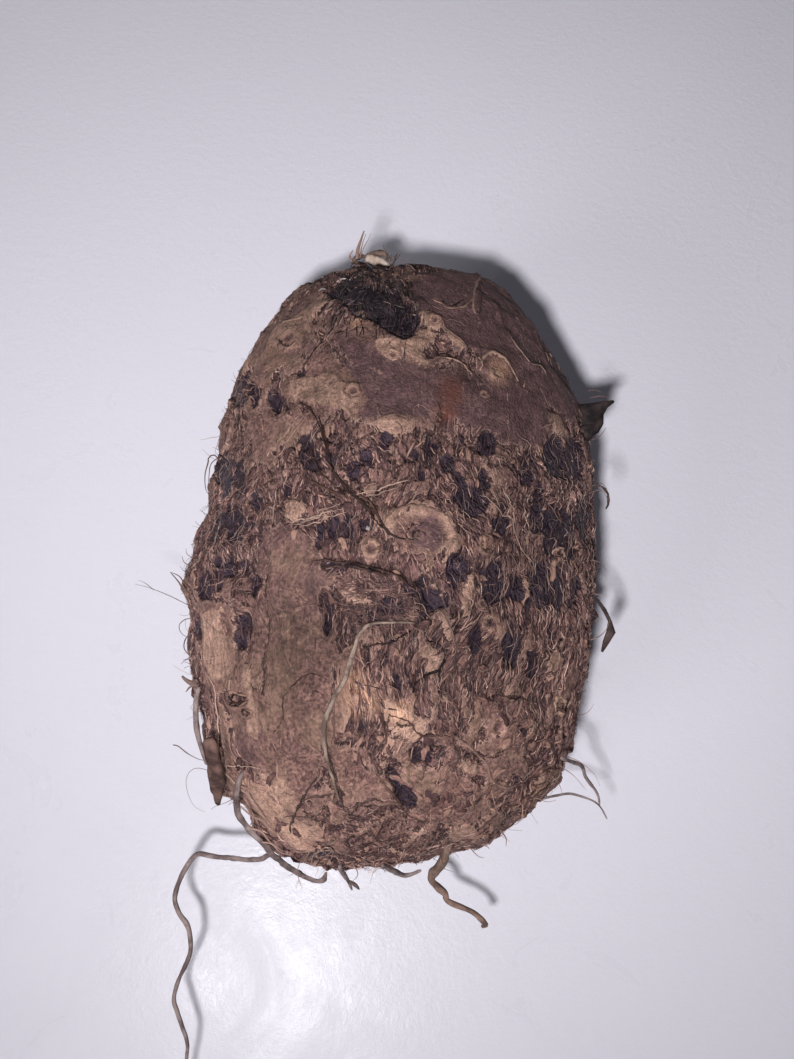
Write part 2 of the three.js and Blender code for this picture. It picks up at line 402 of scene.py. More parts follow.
def lineDistance(line):  # mm from an open line in the view
    line = np.array(line, float)
    best = np.full(len(viewPlace), 1e9)
    for one, two in zip(line[:-1], line[1:]):
        best = np.minimum(best, distanceToPart(viewPlace, one, two))
    return np.where(nearSide, best / pixelsPerMm, farOff)


def outlineDistance(outline):  # mm inside an outline in the view, below zero outside it
    closed = np.array(outline + outline[:1], float)
    inside = np.zeros(len(viewPlace), bool)
    for one, two in zip(closed[:-1], closed[1:]):
        rising = (one[1] > viewPlace[:, 1]) != (two[1] > viewPlace[:, 1])
        slope = (two[0] - one[0]) / (two[1] - one[1] + 1e-9)
        inside ^= rising & (viewPlace[:, 0] < one[0] + slope * (viewPlace[:, 1] - one[1]))
    edge = lineDistance(closed)
    return np.where(inside & nearSide, edge, -edge)


def anyOf(outlines):
    return np.maximum.reduce([outlineDistance(outline) for outline in outlines.values()])


# places in the view where the smooth outer skin is whole
smoothPatches = {
    "left brown": [(227, 648), (243, 650), (262, 700), (262, 760), (250, 764), (238, 744), (232, 716)],
    "bud": [(480, 362), (492, 354), (505, 359), (514, 372), (514, 386), (500, 394), (484, 390),
        (478, 376)],
    "left band": [(274, 524), (300, 530), (318, 545), (322, 570), (318, 600), (330, 640), (334, 680),
        (322, 720), (322, 770), (290, 790), (254, 770), (262, 700), (266, 620), (262, 560)],
    "left tan": [(285, 383), (303, 364), (319, 356), (337, 350), (351, 384), (363, 389), (363, 398),
        (351, 410), (321, 411), (303, 408), (289, 402)],
    "purple plate": [(342, 344), (385, 350), (436, 366), (452, 392), (440, 410), (425, 420), (350, 421),
        (352, 380)],
    "right plate": [(448, 372), (482, 385), (520, 370), (546, 400), (552, 449), (500, 444), (470, 436),
        (446, 410)],
    "upper right plate": [(412, 276), (440, 270), (476, 274), (514, 294), (550, 332), (574, 374),
        (584, 412), (560, 414), (520, 384), (496, 352), (470, 350), (446, 330), (418, 312)],
    "left edge tan": [(200, 600), (230, 604), (235, 614), (233, 650), (235, 688), (212, 698), (203, 680),
        (198, 640)],
    "beside fleck": [(249, 596), (262, 590), (268, 600), (266, 655), (258, 688), (250, 680), (251, 640)],
    "lower left": [(255, 690), (318, 700), (316, 800), (270, 800), (248, 740)],
    "shoulder": [(262, 330), (304, 312), (318, 330), (296, 362), (262, 372), (250, 352)],
    "left of strands": [(250, 410), (278, 420), (272, 470), (250, 460)],
    "root end left": [(236, 770), (262, 778), (290, 796), (302, 828), (330, 850), (300, 854), (262, 838),
        (240, 808)],
    "below orange": [(336, 745), (365, 748), (376, 768), (395, 792), (398, 806), (370, 800), (350, 802),
        (338, 775)],
    "low middle": [(402, 768), (450, 770), (480, 785), (492, 808), (462, 826), (424, 822), (406, 800)],
    "right low": [(472, 700), (510, 698), (540, 712), (520, 745), (490, 745)],
    "great scar": [(394, 520), (406, 511), (430, 510), (447, 524), (448, 543), (434, 556), (410, 555),
        (396, 542)],
    "grey tan": [(350, 417), (384, 414), (417, 420), (413, 434), (394, 436), (378, 428)],
}
# places where a paler, tan skin shows
tanPatches = {
    "left edge": [(203, 614), (222, 609), (227, 640), (223, 678), (211, 686), (204, 658)],
    "left streak": [(244, 662), (252, 668), (254, 690), (259, 712), (258, 738), (251, 736), (248, 712),
        (244, 690)],
    "low left light": [(262, 772), (282, 776), (296, 790), (300, 806), (284, 806), (268, 790)],
    "ridge": [(407, 308), (418, 314), (430, 311), (440, 315), (443, 327), (454, 337), (466, 347),
        (477, 360), (474, 365), (462, 352), (450, 341), (440, 332), (430, 330), (418, 321)],
    "small lump": [(453, 352), (459, 350), (464, 355), (459, 360), (453, 357)],
    "flap": [(334, 588), (350, 585), (372, 596), (380, 605), (360, 604), (342, 600)],
    "star": [(378, 338), (394, 337), (406, 341), (420, 327), (438, 333), (438, 340), (426, 350),
        (425, 357), (430, 365), (413, 361), (405, 356), (398, 361), (388, 362), (378, 354)],
    "left tan": [(292, 384), (330, 372), (342, 384), (351, 384), (363, 389), (363, 398), (351, 409),
        (321, 408), (296, 400)],
    "shoulder": [(271, 327), (286, 320), (308, 315), (311, 323), (300, 330), (300, 348), (282, 350),
        (268, 345)],
    "grey tan": [(375, 418), (392, 416), (417, 420), (413, 434), (394, 436), (378, 430)],
    "left of scar": [(384, 520), (392, 509), (404, 504), (416, 507), (402, 513), (394, 524), (390, 534),
        (385, 530)],
    "right of scar": [(440, 512), (452, 522), (461, 540), (452, 560), (442, 562), (450, 545), (449, 528)],
    "blob": [(480, 458), (489, 460), (488, 470), (480, 468)],
    "bar under flap": [(465, 571), (477, 573), (473, 596), (471, 618), (460, 618), (463, 596)],
    "bar right": [(522, 578), (530, 580), (529, 599), (522, 597)],
    "lobes": [(416, 646), (426, 643), (436, 650), (444, 661), (434, 671), (424, 670), (430, 660),
        (420, 654)],
    "sliver": [(437, 613), (444, 612), (454, 630), (452, 644), (444, 636)],
    "right low": [(546, 655), (556, 650), (563, 658), (558, 670), (548, 672)],
    "right scrap": [(550, 413), (556, 415), (560, 425), (567, 436), (557, 440), (551, 430)],
    "wide low": [(386, 700), (398, 704), (412, 712), (429, 716), (428, 732), (412, 742), (402, 734),
        (392, 736), (384, 718)],
    "root end left": [(240, 780), (262, 784), (286, 804), (296, 830), (318, 846), (296, 848), (262, 826),
        (244, 806)],
    "root end crown": [(296, 816), (320, 820), (326, 838), (306, 840), (294, 830)],
    "low bump": [(462, 760), (478, 764), (476, 776), (464, 774)],
    "low streak": [(446, 826), (472, 820), (478, 828), (452, 838)],
    "below scar": [(362, 541), (372, 536), (381, 541), (383, 551), (376, 560), (366, 560), (360, 551)],
    "small round": [(283, 503), (296, 499), (305, 506), (300, 519), (286, 520)],
    "ridge end": [(272, 330), (303, 312), (324, 296), (340, 292), (338, 300), (312, 318), (280, 338)],
}
# places where dark, torn skin shows
darkPatches = {
    "crown streaks": [(328, 293), (340, 282), (360, 276), (354, 289), (340, 300), (330, 302)],
    "left pit": [(225, 698), (234, 693), (246, 695), (248, 700), (238, 704), (228, 703)],
    "hairy crown": [(340, 296), (346, 286), (362, 281), (382, 283), (398, 291), (410, 303), (421, 320),
        (417, 331), (407, 342), (395, 337), (385, 329), (371, 322), (357, 317), (345, 308)],
    "left strands": [(298, 438), (314, 436), (318, 470), (300, 466)],
    "low": [(408, 748), (424, 745), (434, 750), (432, 764), (412, 762)],
    "diagonal": [(384, 768), (392, 768), (404, 781), (416, 796), (416, 808), (408, 812), (396, 800)],
    "end hole": [(308, 848), (322, 846), (338, 851), (338, 862), (318, 862), (306, 857)],
}
fibrousPatch = [(419, 600), (434, 604), (440, 618), (446, 641), (434, 643), (423, 640), (418, 622)]
hollow = [(424, 350), (431, 343), (438, 335), (444, 336), (450, 343), (457, 349), (466, 358), (474, 368),
          (464, 364), (452, 358), (446, 360), (429, 359)]
flap = [(318, 568), (350, 568), (378, 574), (400, 584), (416, 600), (418, 618), (372, 618), (352, 636),
        (336, 612)]
# upright dark cells: the middle, half width and half height of each
darkCells = {
    "upper left": [(240, 392, 8, 18), (254, 394, 5, 14), (274, 402, 6, 12)],
    "fibre hole": [(300, 372, 3, 3)], "strand head": [(305, 448, 9, 13)],
    "left high": [(221, 476, 9, 24), (237, 474, 6, 15)], "left edge": [(216, 498, 7, 16)],
    "left middle": [(214, 524, 9, 18), (232, 522, 9, 20), (252, 500, 4, 12)],
    "left low": [(207, 587, 6, 14), (217, 584, 5, 12)], "left head": [(222, 562, 10, 5)],
    "left row": [(226, 568, 5, 9), (240, 567, 5, 10)], "left bar": [(254, 584, 4, 10)],
    "band bar": [(328, 620, 5, 15)], "flap head": [(336, 567, 12, 5)], "left fleck": [(240, 632, 5, 17)],
    "small left": [(284, 489, 6, 8)],
    "middle": [(320, 534, 5, 14), (334, 530, 5, 15), (347, 528, 5, 13), (366, 524, 7, 6)],
    "triangle": [(487, 443, 10, 13)],
    "upper right": [(556, 456, 11, 22), (573, 462, 9, 26), (528, 470, 7, 15)],
    "far right": [(588, 520, 6, 30)],
    "upper middle": [(412, 452, 8, 8), (432, 446, 6, 9), (385, 440, 8, 7), (447, 462, 6, 9)],
    "by strands": [(352, 470, 7, 10)], "centre": [(473, 499, 15, 15)],
    "right": [(502, 526, 8, 10), (538, 520, 10, 15), (554, 530, 10, 27), (571, 535, 9, 30)],
    "row": [(457, 570, 10, 16), (496, 582, 14, 21), (516, 588, 7, 16), (543, 582, 13, 26),
        (561, 588, 8, 24), (577, 590, 7, 20)],
    "low": [(476, 640, 6, 15), (512, 650, 8, 17), (535, 662, 6, 15), (560, 706, 4, 5)],
    "low pit": [(523, 731, 4, 5)], "flap dark": [(392, 606, 14, 9), (372, 618, 12, 7)],
}
# places where the smooth skin is purple
purplePatches = {
    "plate": [(342, 344), (378, 348), (425, 366), (442, 368), (448, 392), (430, 414), (360, 420),
        (366, 396), (346, 366)],
    "crown right": [(408, 282), (440, 272), (482, 278), (480, 330), (452, 318), (420, 306)],
    "upper right": [(478, 282), (512, 290), (548, 326), (574, 370), (590, 420), (588, 446), (556, 440),
        (510, 400), (490, 356), (474, 320)],
    "right plate": [(470, 384), (520, 380), (546, 400), (548, 447), (505, 449), (450, 436), (446, 412),
        (470, 398)],
    "scar middle": [(416, 520), (430, 514), (444, 526), (444, 542), (434, 552), (422, 552), (413, 545),
        (411, 531)],
}
# tinted spots: the middle and radius of each
warmSpots = {
    "orange": (364, 700, 22), "orange top": (356, 682, 13), "crown": (358, 322, 12),
    "right": (400, 712, 12), "bud": (498, 372, 13),
}
redSpots = {
    "red": (451, 392, 17), "below red": (447, 414, 14),
}
# old root and bud scars: the middle and outer radius of each
scars = {
    "below scar": (371, 549, 10), "bud": (496, 376, 8), "left tan": (354, 393, 8.5), "star": (393, 357, 6),
    "ridge": (434, 322, 7), "shoulder": (289, 337, 13), "near great": (487, 546, 9),
    "right": (562, 554, 7), "middle low": (491, 623, 9), "small": (483, 604, 5), "low": (498, 727, 10),
    "left pit": (236, 700, 9), "low left": (249, 711, 6), "plate": (483, 397, 5),
    "right low": (561, 706, 7),
}
coverSetup = {  # how much is left of the smooth outer skin, and of dark cells, by degrees from the shoot
    "angle": (0, 20, 40, 60, 70, 84, 88, 92, 104, 107, 112, 117, 118, 127, 130, 139, 147, 149, 154,
        160, 180),
    "cover": (-0.5, -0.2, 0.1, 0.3, 0.3, 0.1, -0.2, -0.5, -0.5, -0.3, -0.3, -0.3, -0.5, -0.4, -0.2,
        -0.1, 0, 0, 0, -0.1, -0.6),
    "dark": (-0.3, -0.5, -0.4, -0.9, -1.0, -0.7, -0.2, 0.0, -0.1, -0.5, -0.7, -0.3, 0.25, 0.15, -0.5,
        -0.3, -0.6, -0.25, -0.3, -0.7, -0.5),
}
grainSetup = {
    "reach": 48.0,  # from the middle of the corm, to turn degrees from the shoot into mm
    "girth": 33.0,  # half width of the corm
    "taper": 1.7,  # how soon the corm is at its full width
    "narrowest": 0.12,  # of the full width, at the two ends
}


def sway(points):  # how far the grain swings sideways here
    return lumpSum(points, (3.2, 9, 81), (1.3, 4, 82))


distanceDown = np.radians(fromShoot) * grainSetup["reach"]
narrowing = np.clip(np.sin(np.radians(fromShoot)) * grainSetup["taper"], grainSetup["narrowest"], 1)
girth = grainSetup["girth"] * narrowing
turned = roundAngle + sway(smoothPlace) / grainSetup["girth"]
grain = np.stack([np.sin(turned) * girth, np.cos(turned) * girth, distanceDown], axis=1)


def grainSum(*rows):  # fields drawn out along the grain: weight, size across, size along and seed
    return sum(weight * lumps(grain / np.array([across, across, along]), 1, seed)
               for weight, across, along, seed in rows)


edgeNoise = lumpSum(smoothPlace, (0.35, 2.4, 31), (0.22, 1.1, 32))


def ragged(distance, most=3.0):  # a front with an uneven edge, from -3 well outside it to the most inside
    return np.clip(distance + edgeNoise, -3.0, most)


# The fields below say what each point of the skin shows: above zero the smooth outer layer, a dark
# cell, tan or purple skin is there, and below zero it is not.
wander = fromShoot + lumpSum(smoothPlace, (3.0, 9, 11), (1.4, 3.2, 12))
layer = grainSum((1.0, 1.7, 4.6, 21), (0.7, 0.9, 2.6, 22)) + 0.3 * lumps(smoothPlace, 1.2, 23)
layer += np.interp(wander, coverSetup["angle"], coverSetup["cover"])
layer = (layer + 0.3 * lumps(smoothPlace, 12, 24)) * 1.4
dark = grainSum((1.1, 1.5, 4.4, 25), (0.5, 0.9, 2.6, 26)) + 0.2 * lumps(smoothPlace, 9, 27)
dark += np.interp(wander, coverSetup["angle"], coverSetup["dark"])
dark = (dark - 0.45 * smoothStep(0.0, 0.25, facing)) * 1.5

smoothFront = ragged(anyOf(smoothPatches), 0.5)
tanFront = ragged(anyOf(tanPatches), 0.55)
darkFront = ragged(anyOf(darkPatches))
purpleFront = ragged(anyOf(purplePatches))
hollowFront = ragged(outlineDistance(hollow))
fibrousFront = ragged(outlineDistance(fibrousPatch))
flapDistance = outlineDistance(flap)
cellNoise = grainSum((0.5, 0.8, 3.4, 29), (0.35, 0.5, 2.0, 30))
for x, y, halfWide, halfHigh in sum(darkCells.values(), []):
    away = (np.abs(viewPlace - (x, y)) / (halfWide, halfHigh)) ** 1.4
    cell = (1 - np.hypot(away[:, 0], away[:, 1])) * halfWide / pixelsPerMm * 1.6
    cell = np.clip(cell + 1.2 * edgeNoise + cellNoise, -3, 3)
    darkFront = np.maximum(darkFront, np.where(nearSide, cell, -3))

dark = np.where(flapDistance > -0.3, np.minimum(dark, -0.5 + grainSum((0.8, 0.9, 1.6, 28))), dark)
layer = np.maximum(layer, smoothFront * 1.3)
layer = np.maximum(layer, tanFront * 1.6)
layer = np.minimum(layer, -fibrousFront * 1.6)
layer = np.minimum(layer, -np.maximum(darkFront, hollowFront) * 1.6)
layer = np.clip(layer, -2.5, 2.5)
dark = np.clip(np.maximum(dark, darkFront * 1.6), -2.5, 2.5)
dark = np.minimum(dark, -layer * 1.5 + 0.4)

# pale remains of the outermost skin, most of them on the side away from the camera
pale = grainSum((0.9, 4.0, 9.0, 41), (0.6, 1.8, 4.4, 42)) + 0.3 * lumps(smoothPlace, 1.4, 43)
pale = pale * 1.6 - 0.75 - 0.25 * (smoothStep(0.0, 0.3, facing) > 0.5)
pale -= 0.7 * smoothStep(-0.2, 0.5, smoothFront)
tan = np.minimum(np.maximum(pale, tanFront * 1.5), -fibrousFront * 1.5)
purple = np.maximum(lumpSum(smoothPlace, (1.5, 13, 51), (0.5, 4, 52)) - 0.75, purpleFront * 1.5)


def spotted(spots):
    strength = np.zeros(len(toward))
    for x, y, radius in spots.values():
        away = np.linalg.norm(viewPlace - (x, y), axis=1) / radius
        spot = 1 - smoothStep(0.1, 1.3, away + 0.3 * lumps(smoothPlace, 2, 53))
        strength = np.maximum(strength, spot * nearSide)
    return strength


warm = spotted(warmSpots)
red = spotted(redSpots)
print("skin layers ready")


cormInView = (395, 560)


def placeOf(x, y):  # the point of the skin seen at this place in the view
    for inward in np.linspace(0, 0.2, 11):  # a place just off the outline moves in to the skin
        ray = viewRay(x + (cormInView[0] - x) * inward, y + (cormInView[1] - y) * inward)
        hit = cormTree.ray_cast(Vector(cameraPlace), Vector(ray))[0]
        if hit is not None:
            return np.array(hit)


shadeSetup = {  # the skin is darker at the shoot end and paler at the root end and on its flanks: partly the skin's own tone, partly painted light and shade for how the lamps fall on it
    "along": (-52, -44, -30, -10, 10, 30, 52),
    "paintedLightAndTone": (1.84, 1.78, 1.68, 1.43, 1.32, 1.22, 1.02),
    "across": (-33, -10, 15, 33),
    "paintedFlankLight": (1.32, 1.12, 1.0, 1.40),
    "places": [  # the place in the view, radius in mm and gain of each paler or darker place, some the skin's own tone and some painted light and shade
        (497, 729, 1.4, 0.45), (371, 549, 1.8, -0.15), (430, 624, 2.4, -0.2), (290, 328, 4.0, -0.15),
        (385, 765, 4.0, 0.15), (440, 808, 5.0, 0.08), (390, 385, 5.0, -0.14), (450, 690, 4.0, -0.2),
        (425, 672, 3.0, -0.15), (455, 745, 5.0, 0.1), (465, 377, 1.9, -0.4), (497, 373, 2.0, -0.25),
        (450, 298, 5.0, 0.25), (410, 348, 3.0, 0.12), (362, 700, 4.6, 0.145), (405, 724, 3.2, 0.2),
        (212, 640, 4.0, 0.12), (315, 392, 4.0, -0.27), (297, 650, 8.0, -0.53), (290, 740, 7.0, -0.24),
        (365, 455, 5.0, 0.3), (432, 333, 1.4, 0.4), (372, 842, 4.0, -0.12), (402, 798, 2.6, 0.16),
        (400, 684, 3.0, -0.16), (482, 398, 3.4, -0.16), (480, 478, 3.2, -0.14), (482, 600, 3.0, -0.14),
        (352, 476, 2.6, 0.14), (316, 436, 2.4, 0.12), (436, 838, 3.0, -0.3),
        (500, 652, 7.0, -0.25), (215, 480, 5.0, 0.2),
    ],
}
toneAndLightPlaces = [(placeOf(x, y), radius, gain) for x, y, radius, gain in shadeSetup["places"]]


# brightness at these points: the skin's own tone times painted light and shade
def shadeAt(points):
    along = np.interp(points[:, 1], shadeSetup["along"], shadeSetup["paintedLightAndTone"])
    paintedFlankLight = np.interp(points[:, 0], shadeSetup["across"], shadeSetup["paintedFlankLight"])
    paintedLightAndTone = along * paintedFlankLight * (1 + 0.14 * lumps(points, 7, 91))
    for place, radius, gain in toneAndLightPlaces:
        paintedLightAndTone *= 1 + gain * np.exp(-(np.linalg.norm(points - place, axis=1) / radius) ** 2)
    return paintedLightAndTone


hiddenScars = {
    "seed": 61,
    "upTo": 60,  # scars in all, with those that show
    "apart": 6,
    "radius": (0.6, 1.5),
    "from": 15,  # degrees from the shoot
    "to": 168,
}


def allScars():  # the places and radii of the scars that show and of chosen ones on the far side
    random = np.random.default_rng(hiddenScars["seed"])
    places = [placeOf(x, y) for x, y, radius in scars.values()]
    radii = [radius / pixelsPerMm for x, y, radius in scars.values()]
    while len(places) < hiddenScars["upTo"]:
        pick = random.integers(len(toward))
        apart = np.linalg.norm(np.array(places) - smoothPlace[pick], axis=1).min()
        free = hiddenScars["from"] < fromShoot[pick] < hiddenScars["to"] and apart > hiddenScars["apart"]
        if free and facing[pick] < 0.15:
            places.append(smoothPlace[pick])
            radii.append(random.uniform(*hiddenScars["radius"]))
    return zip(places, radii)


scarLocal = np.full((len(toward), 3), farOff)  # across and along in scar radii, and the radius
scarAway = np.full(len(toward), farOff)  # from the nearest scar's middle, in its radii
for place, radius in allScars():
    offset = smoothPlace - place
    near = np.nonzero(np.linalg.norm(offset, axis=1) < 3.2 * radius + 1)[0]
    across = (offset[near] * sideward[near]).sum(1) / radius
    along = (offset[near] * shootward[near]).sum(1) / radius
    away = np.hypot(across, along)
    closer = away < scarAway[near]
    scarAway[near[closer]] = away[closer]
    scarLocal[near[closer]] = np.stack([across, along, np.full(len(near), radius)], axis=1)[closer]


starEdge = [(428, 361), (440, 358), (447, 360), (463, 364), (471, 376)]
leftCrack = [(266, 574), (268, 627), (264, 650), (260, 665), (264, 686)]
lowerCrack = [(327, 679), (308, 674), (289, 689), (282, 700), (282, 720), (275, 731)]
# raised edges and grooves on the upper side: line in the view, mm high and mm wide
rims = {
    "flap": ([(316, 568), (320, 564), (353, 567), (376, 572), (394, 576), (408, 585), (417, 593),
        (421, 606), (421, 620)], 0.6, 0.7),
    "above flap": ([(314, 560), (353, 559), (378, 564), (398, 569), (414, 578), (428, 590)], -0.45, 0.5),
    "star ridge": ([(407, 309), (417, 317), (429, 317), (439, 321), (443, 334), (459, 344), (470, 354),
        (479, 366)], 0.5, 0.5),
    "star edge": (starEdge, 0.35, 0.45),
    "bud arc": ([(481, 356), (492, 354), (503, 360), (511, 373), (517, 381)], 0.4, 0.45),
    "top ridge": ([(475, 279), (475, 290), (476, 303), (477, 320)], 0.4, 0.45),
    "right line": ([(478, 296), (495, 307), (506, 325), (511, 339), (523, 355), (532, 363), (541, 366),
        (547, 373)], 0.3, 0.4),
    "shoulder strands": ([(304, 410), (330, 458), (352, 490), (380, 522), (400, 538)], 0.4, 1.0),
    "great scar": ([(392, 512), (415, 505), (440, 512), (458, 530), (452, 560), (425, 562), (396, 552),
        (384, 530), (392, 512)], 0.4, 0.8),
    "left crack": (leftCrack, -0.5, 0.35),
    "lower crack": (lowerCrack, -0.5, 0.35),
    "low ridge": ([(461, 741), (484, 755), (501, 755)], 0.4, 0.6),
}
# swellings and dips: place and radius in the view, mm out or in
bulges = {
    "upper right": (552, 345, 45, -0.8), "left notch": (200, 505, 20, -1.1),
    "left shoulder": (187, 578, 24, 1.2), "right foot": (562, 775, 22, 0.9),
    "lower right": (490, 842, 24, 1.0), "upper left": (262, 330, 40, -0.6),
    "shoot seat": (384, 264, 17, -0.7), "lower left": (240, 814, 20, -1.4),
    "left gap": (198, 716, 15, -0.6),
}
reliefSetup = {
    "rings": (32, 47, 62, 78, 94, 106, 119, 132, 145, 156),  # degrees from the shoot
    "ringStep": 0.55,
    "ringFade": 2.2,
    "layerStep": 0.42,
    "tanStep": 0.2,
    "darkDepth": 0.45,
    "grain": 0.16,
    "scarRim": 0.35,
    "scarDepth": 0.3,
    "footLevels": (0.8, 4.5),  # above the ground; the skin keeps its place below the first
    "lowest": 0.02,
}
relief = lumpSum(smoothPlace, (0.367, 9, 71), (0.183, 4.5, 72), (0.22, 2.6, 73), (0.12, 1.3, 74))
for ring in reliefSetup["rings"]:
    below = np.radians(wander - ring) * grainSetup["reach"]
    strength = 0.6 + grainSum((0.5, 7, 60, ring))
    strength *= (1 - 0.8 * smoothStep(-0.2, 0.4, smoothFront)) * reliefSetup["ringStep"]
    relief += strength * np.exp(np.minimum(below, 0) / reliefSetup["ringFade"]) * (below < 0)
    relief -= 0.5 * strength * np.exp(-np.abs(below) / 0.5)
relief += reliefSetup["layerStep"] * smoothStep(-0.25, 0.25, layer)
relief += reliefSetup["tanStep"] * smoothStep(-0.2, 0.2, tan) * (layer > 0)
relief -= reliefSetup["darkDepth"] * smoothStep(-0.3, 0.3, dark)
torn = 1 - smoothStep(-0.3, 0.2, layer)
relief += torn * reliefSetup["grain"] * grainSum((1, 0.9, 3.0, 75), (1, 1.4, 2.0, 76))
for line, height, width in rims.values():
    relief += height * np.exp(-(lineDistance(line) / width) ** 2)
rootEnd = smoothStep(138, 150, fromShoot)
relief += rootEnd * lumpSum(smoothPlace, (0.45, 3.4, 77), (0.25, 1.7, 78))
relief += reliefSetup["scarRim"] * np.exp(-((scarAway - 0.85) / 0.3) ** 2)
relief -= reliefSetup["scarDepth"] * np.exp(-(scarAway / 0.4) ** 2)
relief -= relief.mean() + 0.1
for x, y, radius, height in bulges.values():
    away = np.linalg.norm(viewPlace - (x, y), axis=1) / radius
    relief += height * np.exp(-away ** 2) * (facing > -0.5)
relief *= 1 - smoothStep(*reversed(reliefSetup["footLevels"]), smoothPlace[:, 2])
skinPlace = smoothPlace + skinNormal * relief[:, None]
skinPlace[:, 2] = np.maximum(skinPlace[:, 2], reliefSetup["lowest"])
skinNormal = vertexNormals(skinPlace, skinFaces)
vertexAt = np.full(counts + 1, -1)
vertexAt[tuple(lattice.T)] = np.arange(len(lattice))


def sample(values, ways):  # values of the skin's points in these directions from the middle
    cubeWay = ways / np.array(skinSetup["halfSize"])
    cubeWay = cubeWay / np.abs(cubeWay).max(axis=1, keepdims=True)
    spot = (np.arctan(cubeWay) * 4 / math.pi + 1) / 2 * counts
    main = np.abs(cubeWay).argmax(axis=1)
    rows = np.arange(len(ways))
    spot[rows, main] = np.where(cubeWay[rows, main] > 0, counts[main], 0)
    low = np.clip(np.floor(spot + 1e-9).astype(int), 0, counts - 1)
    low[rows, main] = spot[rows, main].astype(int)
    part = spot - low
    one, two = (main + 1) % 3, (main + 2) % 3
    total = 0
    for stepOne, stepTwo in ((0, 0), (1, 0), (0, 1), (1, 1)):
        cell = low.copy()
        cell[rows, one] += stepOne
        cell[rows, two] += stepTwo
        share = np.where(stepOne, part[rows, one], 1 - part[rows, one])
        share = share * np.where(stepTwo, part[rows, two], 1 - part[rows, two])
        total = total + share[:, None] * values[vertexAt[tuple(cell.T)]]
    return total


def onSkin(points):  # the skin straight out from the middle through these points, and its normals
    ways = points - middle
    return sample(skinPlace, ways), unit(sample(skinNormal, ways))


colors = {  # of the skin of the corm
    "smooth": (0.148, 0.082, 0.0689),
    "smoothDeep": (0.085, 0.045, 0.0413),
    "olive": (0.144, 0.088, 0.0657),
    "tan": (0.27, 0.168, 0.129),
    "tanDeep": (0.18, 0.106, 0.0816),
    "purple": (0.072, 0.0385, 0.0413),
    "dark": (0.0265, 0.0175, 0.026),
    "darkBrown": (0.046, 0.026, 0.0329),
    "under": (0.058, 0.0305, 0.0323),
    "underBrown": (0.134, 0.07, 0.0657),
    # also the painted highlight on the lip of the smooth layer
    "fibre": (0.32, 0.198, 0.165),
    "warm": (0.29, 0.142, 0.089),
    "warmPale": (0.52, 0.325, 0.233),
    "scar": (0.25, 0.15, 0.119),
    "red": (0.084, 0.030, 0.023),
    # the dark of the joints between scales and of fine cracks, and the painted shadow line under the smooth
    # layer's edge
    "edge": (0.022, 0.012, 0.0138),
    "dustAndGlint": (0.33, 0.21, 0.173),
}


